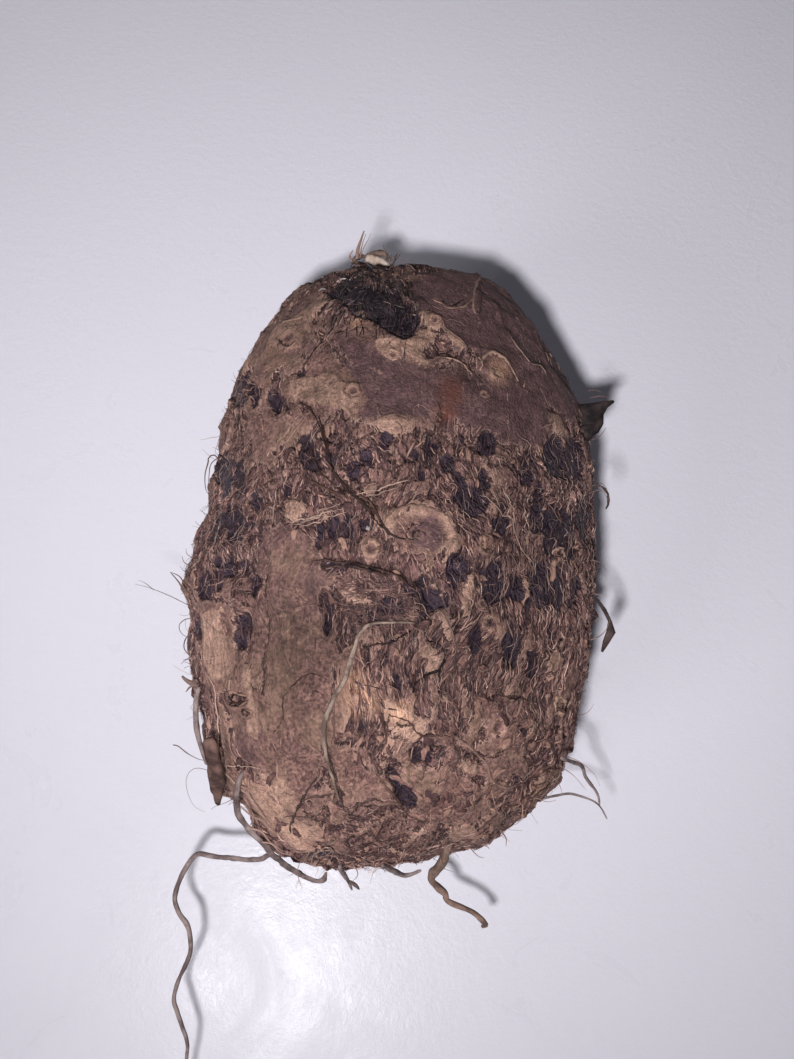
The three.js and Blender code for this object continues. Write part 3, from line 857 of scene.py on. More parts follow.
class SkinFinish(Finish):  # smooth plates with torn edges over brown fibre, with dark cells and scars
    def __init__(self):
        super().__init__("brown corm skin", 0.22)
        self.grain = self.vector("grain")
        self.place = self.vector("place")
        self.fine = self.alongGrain(2.8, 0.6, 3, 0.6, 0.5)
        self.coarse = self.alongGrain(1.3, 0.36, 3, 0.6, 0.8)
        self.torn = self.timesPlus(self.alongGrain(1.7, 0.55, 4, 0.65, 0.0), 2.0, -1.0)
        self.speck = self.noise(self.place, 2.2, 4, 0.65)
        self.speckFine = self.noise(self.place, 6.0, 3, 0.7)
        self.layer = self.raggedField("layer", 1.3)
        self.dark = self.raggedField("dark", 1.2)
        scales = self.warped(self.stretched(self.grain, 0.75, 0.3), 1.6, 0.9)
        self.scaleTone = self.cells(scales, 1.0, "F1", "Color")
        self.scaleEdge = self.cells(scales, 1.0, "DISTANCE_TO_EDGE")

    def alongGrain(self, across, along, detail, roughness, distortion):
        return self.noise(self.stretched(self.grain, across, along), 1.0, detail, roughness, distortion)

    def raggedField(self, name, amount):
        return self.plus(self.number(name), self.times(self.torn, amount))

    def smoothTone(self):
        mottle = self.noise(self.place, 0.9, 4, 0.7, 0.6)
        broad = self.noise(self.place, 0.16, 3, 0.6)
        tone = self.blend(self.fade(self.speck, 0.40, 0.58), colors["smoothDeep"], colors["smooth"])
        tone = self.coat(tone, colors["smoothDeep"], self.speckFine, 0.55, 0.68, 0.6)
        tone = self.coat(tone, colors["smoothDeep"], mottle, 0.5, 0.36, 0.7)
        tone = self.coat(tone, colors["olive"], broad, 0.42, 0.62, 0.75)
        tone = self.coat(tone, colors["smoothDeep"], self.speck, 0.42, 0.3, 0.5)
        tone = self.coat(tone, colors["purple"], self.raggedField("purple", 0.9), -0.3, 0.5, 0.9)
        tanTone = self.blend(self.fade(self.speckFine, 0.35, 0.7), colors["tanDeep"], colors["tan"])
        tanTone = self.coat(tanTone, colors["smooth"], self.fine, 0.46, 0.32, 0.7)
        tone = self.coat(tone, tanTone, self.raggedField("tan", 1.1), -0.1, 0.25)
        # pale specks, part dust and part painted glints
        tone = self.coat(tone, colors["dustAndGlint"], self.speckFine, 0.6, 0.74, 0.4)
        tone = self.coat(tone, colors["smoothDeep"], self.fine, 0.40, 0.28, 0.4)
        blotch = self.alongGrain(1.5, 0.6, 5, 0.75, 0.5)
        blotch = self.timesPlus(blotch, 0.6, self.times(self.speck, 0.4))
        tone = self.scaled(tone, self.fade(blotch, 0.36, 0.62, 0.62, 1.36))
        cloud = self.noise(self.place, 0.45, 3, 0.6, 0.6)
        tone = self.scaled(tone, self.fade(cloud, 0.38, 0.62, 0.82, 1.16))
        marks = self.alongGrain(1.6, 1.0, 5, 0.72, 0.8)
        tone = self.coat(tone, colors["underBrown"], marks, 0.56, 0.66, 0.75)
        return self.coat(tone, colors["tan"], marks, 0.40, 0.32, 0.45)

    def underTone(self):  # the brown fibre and small scales where the smooth layer is gone
        bits = self.timesPlus(self.scaleTone, 0.5, self.timesPlus(self.coarse, 0.6, -0.3))
        bits = self.plus(bits, self.timesPlus(self.speck, 0.8, -0.4))
        tone = self.blend(self.fade(bits, 0.08, 0.3), colors["under"], colors["underBrown"])
        tone = self.coat(tone, colors["smooth"], bits, 0.3, 0.5)
        tone = self.coat(tone, colors["fibre"], self.fine, 0.52, 0.68, 0.9)
        return self.coat(tone, colors["edge"], self.scaleEdge, 0.09, 0.01, 0.75)

    def scarred(self, tone):
        away = self.lengthOf(self.stretched(self.vector("scar"), 1, 0))
        away = self.plus(away, self.timesPlus(self.speck, 0.5, -0.25))
        onRing = self.fade(self.awayFrom(away, 0.72), 0.3, 0.12)
        ringTone = self.blend(onRing, colors["underBrown"], colors["scar"])
        ringTone = self.coat(ringTone, colors["under"], away, 0.4, 0.28)
        return self.blend(self.times(self.fade(away, 1.25, 1.05), 0.8), tone, ringTone)

    def tinted(self, tone):  # the warm and red spots, then fine cracks in the smooth layer
        warmTone = self.blend(self.fade(self.fine, 0.4, 0.62), colors["warm"], colors["warmPale"])
        tone = self.blend(self.times(self.number("warm"), 0.75), tone, warmTone)
        redness = self.times(self.number("red"), self.fade(self.speck, 0.3, 0.6, 0.5, 1.0))
        tone = self.blend(redness, tone, colors["red"])
        plateEdge = self.cells(self.stretched(self.grain, 0.3, 0.12), 1.0, "DISTANCE_TO_EDGE")
        crack = self.times(self.fade(plateEdge, 0.012, 0.003, 0, 0.4), self.fade(self.layer, 0.1, 0.3))
        return self.blend(crack, tone, colors["edge"])

    def height(self):
        onTop = self.fade(self.layer, -0.1, 0.1)
        height = self.times(self.fine, self.timesPlus(onTop, -0.75, 1.0))
        height = self.timesPlus(onTop, 0.6, height)
        coarse = self.times(self.coarse, self.math("SUBTRACT", 1.15, onTop))
        height = self.timesPlus(coarse, 0.8, height)
        height = self.timesPlus(self.speck, 0.5, height)
        scales = self.times(self.fade(self.scaleEdge, 0.0, 0.22), self.fade(self.layer, 0.1, -0.1))
        height = self.timesPlus(scales, 0.9, height)
        return self.timesPlus(self.fade(self.dark, -0.1, 0.3), -0.7, height)

    def made(self):
        tone = self.coat(self.underTone(), self.smoothTone(), self.layer, -0.1, 0.1)
        # a painted highlight on the lip where the smooth layer ends, and just off it a painted shadow line
        # under the edge
        tone = self.coat(tone, colors["fibre"], self.awayFrom(self.layer, 0.16), 0.2, 0.04, 0.45)
        tone = self.coat(tone, colors["edge"], self.awayFrom(self.layer, -0.12), 0.16, 0.03, 0.6)
        darkTone = self.blend(self.fade(self.fine, 0.42, 0.66), colors["dark"], colors["darkBrown"])
        tone = self.coat(tone, darkTone, self.dark, -0.1, 0.3)
        # the shade field: the skin's own tone and painted light and shade
        tone = self.scaled(self.tinted(self.scarred(tone)), self.number("shade"))
        roughness = self.times(self.fade(self.speckFine, 0.3, 0.7, 0.9, 0.62),
                               self.fade(self.dark, -0.1, 0.3, 1.0, 0.62))
        coarseBump = self.bump(self.height(), 0.65, 0.95)
        return self.finish(tone, roughness, self.bump(self.speckFine, 0.16, 0.6, coarseBump))


skin = makeMesh("corm_body", skinPlace, skinFaces.tolist(), SkinFinish().made())
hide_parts("corm")
setFields(skin, grain=grain, place=skinPlace, shade=shadeAt(skinPlace), layer=layer, dark=dark, tan=tan,
          purple=purple, warm=warm, red=red, scar=scarLocal)
bakeLayout(skin)
print("skin made:", len(skinFaces), "squares")


def crossways(lines, ups):  # the ways across each line, level with the skin and straight up from it
    side = unit(np.cross(unit(np.gradient(lines, axis=1)), ups))
    return side, np.cross(side, unit(np.gradient(lines, axis=1)))


def creep(starts, headings, steps, turns):  # lines that crawl over the skin, with the normals under them
    place, normal = onSkin(starts)
    heading = flattened(headings, normal)
    places, normals = [place], [normal]
    for step, turn in zip(steps.T, turns.T):
        heading = heading * np.cos(turn)[:, None] + np.cross(normal, heading) * np.sin(turn)[:, None]
        place, normal = onSkin(place + heading * step[:, None])
        heading = flattened(heading, normal)
        places.append(place)
        normals.append(normal)
    return np.stack(places, axis=1), np.stack(normals, axis=1)


def threads(name, lines, ups, widths, heights, material, tones, sides=3):
    # closed tapered rods along many lines at once; lines are (rods, stations, 3)
    count, stations = lines.shape[:2]
    side, up = crossways(lines, ups)
    points = []
    for index in range(sides):
        angle = math.pi / 2 + 2 * math.pi * index / sides
        across = side * (math.cos(angle) * widths / 2)[..., None]
        points.append(lines + (across + up * (math.sin(angle) * heights / 2)[..., None]))
    points = np.stack(points, axis=2)
    number = np.arange(count * stations * sides).reshape(count, stations, sides)
    turned = np.roll(number, -1, axis=2)
    quads = np.stack([number[:, :-1], turned[:, :-1], turned[:, 1:], number[:, 1:]], axis=-1)
    faces = quads.reshape(-1, 4).tolist() + number[:, 0, ::-1].tolist() + number[:, -1].tolist()
    piece = makeMesh(name, points.reshape(-1, 3), faces, material)
    each = stations * sides
    # each rod takes the tone and painted light and shade of the skin at its middle
    setFields(piece, tone=np.repeat(tones, each), shade=np.repeat(shadeAt(lines[:, stations // 2]), each))
    return piece


def threadFinish(name, dark, light, roughness=0.62, specular=0.32):
    look = Finish(name, specular)
    place = look.coordinates()
    speck = look.noise(place, 900, 3, 0.6)
    broad = look.noise(place, 160, 2)
    mix = look.plus(look.number("tone"), look.timesPlus(speck, 1.0, -0.5))
    mix = look.plus(mix, look.timesPlus(broad, 0.8, -0.4))
    # times the tone and painted light and shade of the skin under it
    tone = look.scaled(look.blend(look.fade(mix, 0.1, 0.9), dark, light), look.number("shade"))
    shine = look.fade(speck, 0.3, 0.7, roughness + 0.1, roughness - 0.1)
    return look.finish(tone, shine, look.bump(look.noise(place, 2600, 2), 0.05, 0.5))


plateSetup = {
    "spread": (-1, -0.4, 0.4, 1),  # where its points lie across it, in half widths
    "ragged": 0.25,
    "thickness": 0.13,
    "low": (0.04, 0.021, 0.0223),
    "middle": (0.122, 0.064, 0.0562),
    "high": (0.215, 0.127, 0.0996),
}


def plates(name, lines, ups, widths, material, tones, seed):
    # thin torn scales of old skin that follow these lines, closed all round
    random = np.random.default_rng(seed)
    count, stations = lines.shape[:2]
    side, up = crossways(lines, ups)
    spread = np.array(plateSetup["spread"])
    shape = (count, 2, stations, len(spread))
    ragged = 1 + plateSetup["ragged"] * random.normal(0, 1, (count, *shape[2:])) * np.abs(spread)
    curl = random.normal(0.1, 0.35, (count, 1, 1))
    tilt = random.normal(0, 0.22, (count, 1, 1))
    half = widths[..., None] / 2
    across = half * spread * ragged
    height = half * (curl * spread ** 2 + tilt * spread) + 0.05 + 0.03 * random.normal(0, 1, across.shape)
    top = lines[:, :, None] + side[:, :, None] * across[..., None] + up[:, :, None] * height[..., None]
    points = np.stack([top, top - up[:, :, None] * plateSetup["thickness"]], axis=1)
    number = np.arange(math.prod(shape)).reshape(shape)
    upper, under = number[:, 0], number[:, 1]
    quads = [
        [upper[:, :-1, :-1], upper[:, :-1, 1:], upper[:, 1:, 1:], upper[:, 1:, :-1]],
        [under[:, :-1, :-1], under[:, 1:, :-1], under[:, 1:, 1:], under[:, :-1, 1:]],
        [upper[:, :-1, 0], upper[:, 1:, 0], under[:, 1:, 0], under[:, :-1, 0]],
        [upper[:, :-1, -1], under[:, :-1, -1], under[:, 1:, -1], upper[:, 1:, -1]],
        [upper[:, 0, :-1], under[:, 0, :-1], under[:, 0, 1:], upper[:, 0, 1:]],
        [upper[:, -1, :-1], upper[:, -1, 1:], under[:, -1, 1:], under[:, -1, :-1]],
    ]
    faces = np.concatenate([np.stack(quad, axis=-1).reshape(-1, 4) for quad in quads]).tolist()
    piece = makeMesh(name, points.reshape(-1, 3), faces, material)
    stripe = np.broadcast_to(spread * 3.0, shape) + tones[:, None, None, None] * 40  # each has its own
    along = np.broadcast_to(np.linspace(0, 1.2, stations)[:, None], shape)
    each = math.prod(shape[1:])
    # each scale takes the tone and painted light and shade of the skin at its middle
    setFields(piece, tone=np.repeat(tones, each), rim=np.broadcast_to(np.abs(spread), shape).ravel(),
              stripes=np.stack([stripe, along, 0 * along], axis=-1).reshape(-1, 3),
              shade=np.repeat(shadeAt(lines[:, stations // 2]), each))
    return piece


def plateFinish():
    look = Finish("torn scale of old skin", 0.16)
    stripes = look.noise(look.vector("stripes"), 2.2, 3, 0.6)
    speck = look.noise(look.coordinates(), 1400, 3, 0.65)
    mix = look.plus(look.number("tone"), look.timesPlus(stripes, 1.8, -0.9))
    mix = look.plus(mix, look.timesPlus(speck, 0.9, -0.45))
    tone = look.blend(look.fade(mix, 0.0, 0.45), plateSetup["low"], plateSetup["middle"])
    tone = look.coat(tone, plateSetup["high"], mix, 0.45, 0.95)
    rim = look.plus(look.number("rim"), look.timesPlus(speck, 0.6, -0.3))
    tone = look.coat(tone, plateSetup["low"], rim, 0.85, 1.05, 0.6)
    # times the tone and painted light and shade of the skin under it
    tone = look.scaled(tone, look.number("shade"))
    return look.finish(tone, look.fade(speck, 0.3, 0.7, 0.92, 0.7), look.bump(stripes, 0.12, 0.8))


fibreSetup = {  # wild: degrees off the grain; curl: turn at each station; skew: above 1, more dark ones
    "skin_flakes": {"seed": 104, "count": 3800, "stations": 5, "length": (0.8, 2.8), "width": (0.14, 0.45),
        "lift": (0.0, 0.2), "wild": 12, "curl": 0.12, "skew": 1.6},
    "torn_scales": {"seed": 105, "count": 800, "stations": 6, "length": (1.2, 3.0), "width": (0.4, 1.1),
        "lift": (0.0, 0.25), "wild": 26, "curl": 0.16, "skew": 1.4},
    "crinkled_scales": {"seed": 111, "count": 300, "stations": 7, "length": (1.2, 3.6), "width": (0.3, 0.8),
        "lift": (0.0, 0.12), "wild": 40, "curl": 0.34, "skew": 1},
    "dark_fibres": {"seed": 101, "count": 3200, "stations": 6, "length": (1.0, 4.2), "width": (0.08, 0.22),
        "lift": (0.02, 0.22), "wild": 9, "curl": 0.12, "skew": 1},
    "pale_fibres": {"seed": 102, "count": 6400, "stations": 5, "length": (0.6, 2.6), "width": (0.06, 0.16),
        "lift": (0.05, 0.28), "wild": 12, "curl": 0.16, "skew": 1},
    "root_hairs": {"seed": 103, "count": 700, "stations": 10, "length": (2.5, 8.0), "width": (0.05, 0.1),
        "lift": (0.1, 0.9), "wild": 55, "curl": 0.32, "skew": 1},
    "glossy_hairs": {"seed": 109, "count": 2400, "stations": 7, "length": (1.5, 5.0), "width": (0.05, 0.11),
        "lift": (0.1, 0.5), "wild": 24, "curl": 0.2, "skew": 1},
    "crown_hairs": {"seed": 110, "count": 620, "stations": 8, "length": (1.6, 5.0), "width": (0.08, 0.26),
        "lift": (0.0, 0.2), "wild": 12, "curl": 0.06, "skew": 1},
}
lowestHair = 1.5  # none starts nearer the ground than this


def pickPlaces(random, weight, count):  # points of the skin, chosen more often where the weight is high
    spread = np.cumsum(weight * (skinPlace[:, 2] > lowestHair))
    picks = np.searchsorted(spread, random.uniform(0, spread[-1], count))
    return np.minimum(picks, len(weight) - 1)


def grow(name, weight):  # lines of this kind of fibre, their normals, widths and tones
    values = fibreSetup[name]
    random = np.random.default_rng(values["seed"])
    count, stations, curl = values["count"], values["stations"], values["curl"]
    picks = pickPlaces(random, weight, count)
    place, ahead = smoothPlace[picks], shootward[picks] * 0.5
    lean = np.arctan(sway(place - ahead) - sway(place + ahead))
    lean += np.radians(random.normal(0, values["wild"], count))
    heading = shootward[picks] * np.cos(lean)[:, None] + sideward[picks] * np.sin(lean)[:, None]
    heading *= random.choice([-1, 1], count)[:, None]
    length = random.uniform(*values["length"], count) * random.uniform(0.5, 1, count)
    steps = np.repeat(length[:, None] / (stations - 1), stations - 1, axis=1)
    turns = random.normal(0, curl, (count, stations - 1)) + random.normal(0, curl * 0.6, (count, 1))
    lines, normals = creep(skinPlace[picks], heading, steps, turns)
    shares = np.linspace(0, 1, stations)
    arch = random.uniform(*values["lift"], count)[:, None] * np.sin(np.pi * shares) ** 0.7
    arch = arch * (0.8 + 0.3 * random.normal(0, 1, (count, stations)))
    lines = lines + normals * (np.maximum(arch, 0) - 0.03)[..., None]
    taper = 0.25 + 0.75 * np.sin(np.pi * (0.06 + 0.9 * shares)) ** 0.6
    width = random.uniform(*values["width"], count)[:, None] * taper[None]
    return lines, normals, width, random.uniform(0, 1, count) ** values["skew"]


def addThreads(name, weight, material, least=0.0, flatness=1.0, toneShare=1.0, sides=3):
    lines, normals, width, tones = grow(name, weight)
    height = least + width * flatness
    threads(name, lines, normals, width, height, material, tones * toneShare, sides)


def addPlates(name, weight, material):
    lines, normals, width, tones = grow(name, weight)
    plates(name, lines, normals, width, material, tones, fibreSetup[name]["seed"] + 1)


scalyNames = ("below orange", "low middle", "right low", "root end left")
scaly = smoothStep(-0.2, 0.4, anyOf({name: smoothPatches[name] for name in scalyNames}))
crownOutline = [(326, 296), (346, 272), (374, 268), (404, 280), (424, 306), (424, 336), (400, 346),
                (366, 330), (340, 322)]
offTan = 1 - 0.9 * smoothStep(-0.2, 0.3, tanFront)
crown = smoothStep(-0.4, 0.6, outlineDistance(crownOutline)) * offTan
clear = np.maximum.reduce([tanFront, smoothFront - 0.7 * scaly, np.where(scarAway < 1.3, 1.0, hollowFront)])
fibrous = np.maximum(1 - smoothStep(-0.5, 0.35, layer), 0.6 * scaly)
fibrous *= 1 - 0.85 * smoothStep(-0.2, 0.3, clear)
notDark = dark < 0.2
heel = np.where(fromShoot > 165, 1.0, 0.0)

flakeThread = threadFinish("torn skin flake", (0.058, 0.031, 0.0318), (0.21, 0.12, 0.0965))
darkThread = threadFinish("dark fibre", (0.024, 0.013, 0.0175), (0.12, 0.063, 0.0594))
# its light tones are partly painted glints on the fibres
paleFibreAndGlint = threadFinish("pale fibre with painted glints", (0.13, 0.071, 0.0636), (0.42, 0.272, 0.231))
hairThread = threadFinish("root hair", (0.06, 0.032, 0.0297), (0.27, 0.165, 0.136))
glossyThread = threadFinish("glossy dark hair", (0.030, 0.019, 0.021), (0.20, 0.136, 0.122), 0.32, 0.7)
crownThread = threadFinish("black crown strand", (0.006, 0.0045, 0.0058), (0.055, 0.040, 0.042), 0.4, 0.5)
scaleSkin = plateFinish()

addThreads("skin_flakes", fibrous * (1 - 0.5 * rootEnd) * notDark + 0.03, flakeThread, 0.12, 0.12, sides=4)
addPlates("torn_scales", fibrous * (0.3 + 0.35 * rootEnd + 0.8 * scaly) * notDark, scaleSkin)
addPlates("crinkled_scales", (scaly + 0.5 * rootEnd) * offTan * notDark, scaleSkin)
addThreads("dark_fibres", fibrous * (1 - 0.6 * (dark > 0.3)) + 0.03, darkThread, flatness=0.7)
# pale fibres, their light tones partly painted highlights on the fibres
addThreads("pale_fibres", fibrous * notDark + 0.03, paleFibreAndGlint, flatness=0.7, toneShare=0.8)
addThreads("root_hairs", (fibrous + 0.2 + heel) * (1 - crown), hairThread)
addThreads("glossy_hairs", (fibrous + 0.3 * (dark > 0.3)) * (1 - 0.9 * crown), glossyThread)
addThreads("crown_hairs", crown, crownThread, toneShare=0.8)

wrinkleSetup = {"seed": 107, "count": 260, "length": (0.8, 2.6), "width": (0.1, 0.3), "lift": 0.04,
                "taper": (0.4, 0.9, 1, 0.9, 0.4)}


def addFlapWrinkles():  # short wrinkles that lie across the flap
    random = np.random.default_rng(wrinkleSetup["seed"])
    count, taper = wrinkleSetup["count"], np.array(wrinkleSetup["taper"])
    picks = pickPlaces(random, smoothStep(0.0, 0.3, flapDistance), count)
    length = random.uniform(*wrinkleSetup["length"], count)
    steps = np.repeat(length[:, None] / (len(taper) - 1), len(taper) - 1, axis=1)
    heading = sideward[picks] + shootward[picks] * random.normal(0.1, 0.25, (count, 1))
    lines, normals = creep(skinPlace[picks], heading, steps, random.normal(0, 0.2, steps.shape))
    width = random.uniform(*wrinkleSetup["width"], count)[:, None] * taper
    lines += normals * wrinkleSetup["lift"]
    tones = random.uniform(0, 0.6, count)
    threads("flap_wrinkles", lines, normals, width, width * 0.8, flakeThread, tones)


looseSetup = {"seed": 108, "count": 650, "steps": 8, "length": (1.2, 4.5), "width": (0.06, 0.13),
              "curl": 0.22, "lowest": 0.15, "leftOf": 260, "below": 740, "atEdge": 1.6, "elsewhere": 0.8}


def addLooseHairs():  # fine hairs that leave the skin at a slant, more of them at the left and below
    random = np.random.default_rng(looseSetup["seed"])
    count, steps, curl = looseSetup["count"], looseSetup["steps"], looseSetup["curl"]
    atEdge = (viewPlace[:, 0] < looseSetup["leftOf"]) | (viewPlace[:, 1] > looseSetup["below"])
    weight = (0.3 + fibrous) * np.where(atEdge, looseSetup["atEdge"], looseSetup["elsewhere"])
    picks = pickPlaces(random, weight, count)
    normal = skinNormal[picks]
    heading = unit(random.normal(0, 1, (count, 3)) + normal * 0.8)
    heading = unit(heading - normal * np.minimum((heading * normal).sum(1, keepdims=True) - 0.25, 0))
    step = (random.uniform(*looseSetup["length"], count) * random.uniform(0.5, 1, count))[:, None] / steps
    place = skinPlace[picks] - normal * 0.1
    turn = random.normal(0, curl, (count, 3))
    places = [place]
    for _ in range(steps):
        turn = turn * 0.8 + random.normal(0, curl * 0.5, (count, 3))
        heading = unit(heading + turn - normal * 0.06)
        place = place + heading * step
        place[:, 2] = np.maximum(place[:, 2], looseSetup["lowest"])
        places.append(place)
    lines = np.stack(places, axis=1)
    widths = random.uniform(*looseSetup["width"], count)[:, None] * np.linspace(1, 0.5, steps + 1)
    ups = np.repeat(unit(normal + 0.3)[:, None], steps + 1, axis=1)
    threads("loose_hairs", lines, ups, widths, widths, hairThread, random.uniform(0, 1, count))


addFlapWrinkles()
addLooseHairs()
print("fibres made")


def evenly(line, stations):  # the same line with this many points
    share = np.linspace(0, 1, len(line))
    wanted = np.linspace(0, 1, stations)
    return np.stack([np.interp(wanted, share, line[:, axis]) for axis in range(3)], axis=1)


def smoothLine(points, spacing):  # an even, rounded line through these points
    points = np.array(points, float)
    ends = np.vstack([2 * points[0] - points[1], points, 2 * points[-1] - points[-2]])
    fine = []
    for index in range(1, len(ends) - 2):
        a, b, c, d = ends[index - 1:index + 3]
        for t in np.linspace(0, 1, 12, endpoint=False):
            bend = (2 * a - 5 * b + 4 * c - d) * t ** 2 + (3 * b - a - 3 * c + d) * t ** 3
            fine.append(0.5 * (2 * b + (c - a) * t + bend))
    fine = np.array(fine + [points[-1]])
    along = np.concatenate([[0], np.cumsum(np.linalg.norm(np.diff(fine, axis=0), axis=1))])
    stations = np.linspace(0, along[-1], max(6, int(along[-1] / spacing)))
    return np.stack([np.interp(stations, along, fine[:, axis]) for axis in range(3)], axis=1)


def frameAlong(line, firstUp):
    tangent = unit(np.gradient(line, axis=0))
    up = unit(np.array(firstUp, float))
    ups = []
    for way in tangent:
        up = unit(up - way * (up @ way))
        ups.append(up)
    return np.array(ups), np.cross(tangent, np.array(ups))


def rootShape(line, diameter, seed, flat=1, taper=(0.8, 0.55), rough=0.16, sides=12, firstUp=(0.2, 0.3, 1)):
    # points and faces of one wrinkled root with closed rounded ends
    stations = len(line)
    ups, across = frameAlong(line, firstUp)
    share = np.linspace(0, 1, stations)
    start, end = taper
    size = diameter / 2 * np.interp(share, [0, 0.04, 0.5, 0.97, 1], [start * 0.7, start, 1, end, end * 0.5])
    angles = np.linspace(0, 2 * np.pi, sides, endpoint=False)
    pattern = np.stack([np.repeat(share * stations * 0.18, sides), np.tile(np.cos(angles) * 1.2, stations),
                        np.tile(np.sin(angles) * 1.2, stations)], axis=1)
    wrinkle = lumps(pattern * 1.3 + seed, 0.9, seed) + 0.7 * lumps(pattern + seed, 2.5, seed + 1)
    wrinkle = rough * (wrinkle + 0.5 * np.tile(np.sin(angles * 4 + seed), stations))
    offset = across[:, None] * np.cos(angles)[:, None] + ups[:, None] * np.sin(angles)[:, None] * flat
    offset = offset.reshape(-1, 3) * (size.repeat(sides) * (1 + wrinkle))[:, None]
    number = np.arange(stations * sides).reshape(stations, sides)
    turned = np.roll(number, -1, axis=1)
    quads = np.stack([number[:-1], number[1:], turned[1:], turned[:-1]], axis=-1)
    faces = quads.reshape(-1, 4).tolist() + [number[0].tolist(), number[-1, ::-1].tolist()]
    return line.repeat(sides, axis=0) + offset, faces


def rootFinish(name, dark, light):
    look = Finish(name, 0.3)
    place = look.coordinates()
    patches = look.noise(place, 420, 4, 0.65)
    tone = look.blend(look.fade(patches, 0.36, 0.64), dark, light)
    tone = look.coat(tone, dark, look.noise(place, 90, 2), 0.55, 0.75, 0.6)
    shine = look.fade(patches, 0.3, 0.7, 0.9, 0.7)
    return look.finish(tone, shine, look.bump(look.cells(place, 1500), 0.12, 0.6))


def addRoot(name, shapes, material, replaced=None):  # one piece of one or more root shapes
    points, faces, below = [], [], 0
    for shapePoints, shapeFaces in shapes:
        points.append(shapePoints)
        faces += [[index + below for index in face] for face in shapeFaces]
        below += len(shapePoints)
    piece = makeMesh(name, np.concatenate(points), faces, material)
    if replaced:
        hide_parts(replaced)


def overTop(plan, lift):  # a line on the skin straight above these x and y places
    line = smoothLine([(x, y, 0) for x, y in plan], 0.3)
    above = 3 * middle[2]
    top = [cormTree.ray_cast(Vector((x, y, above)), Vector((0, 0, -1)))[0] for x, y, _ in line]
    place, normal = onSkin(np.array(top))
    return place + normal * lift


def beside(points, anchor):  # places in the view, each as far from the camera as the anchor
    depth = (cameraPlace - anchor) @ cameraBack
    return np.array([atDepth(x, y, depth) for x, y in points])


def levelWith(points, route):  # places in the view, each as far from the camera as the route is there
    line = smoothLine(route, 0.5)
    seenAt = toView(line)
    depth = (cameraPlace - line) @ cameraBack
    nearest = [np.linalg.norm(seenAt - place, axis=1).argmin() for place in points]
    return np.array([atDepth(x, y, depth[near]) for (x, y), near in zip(points, nearest)])


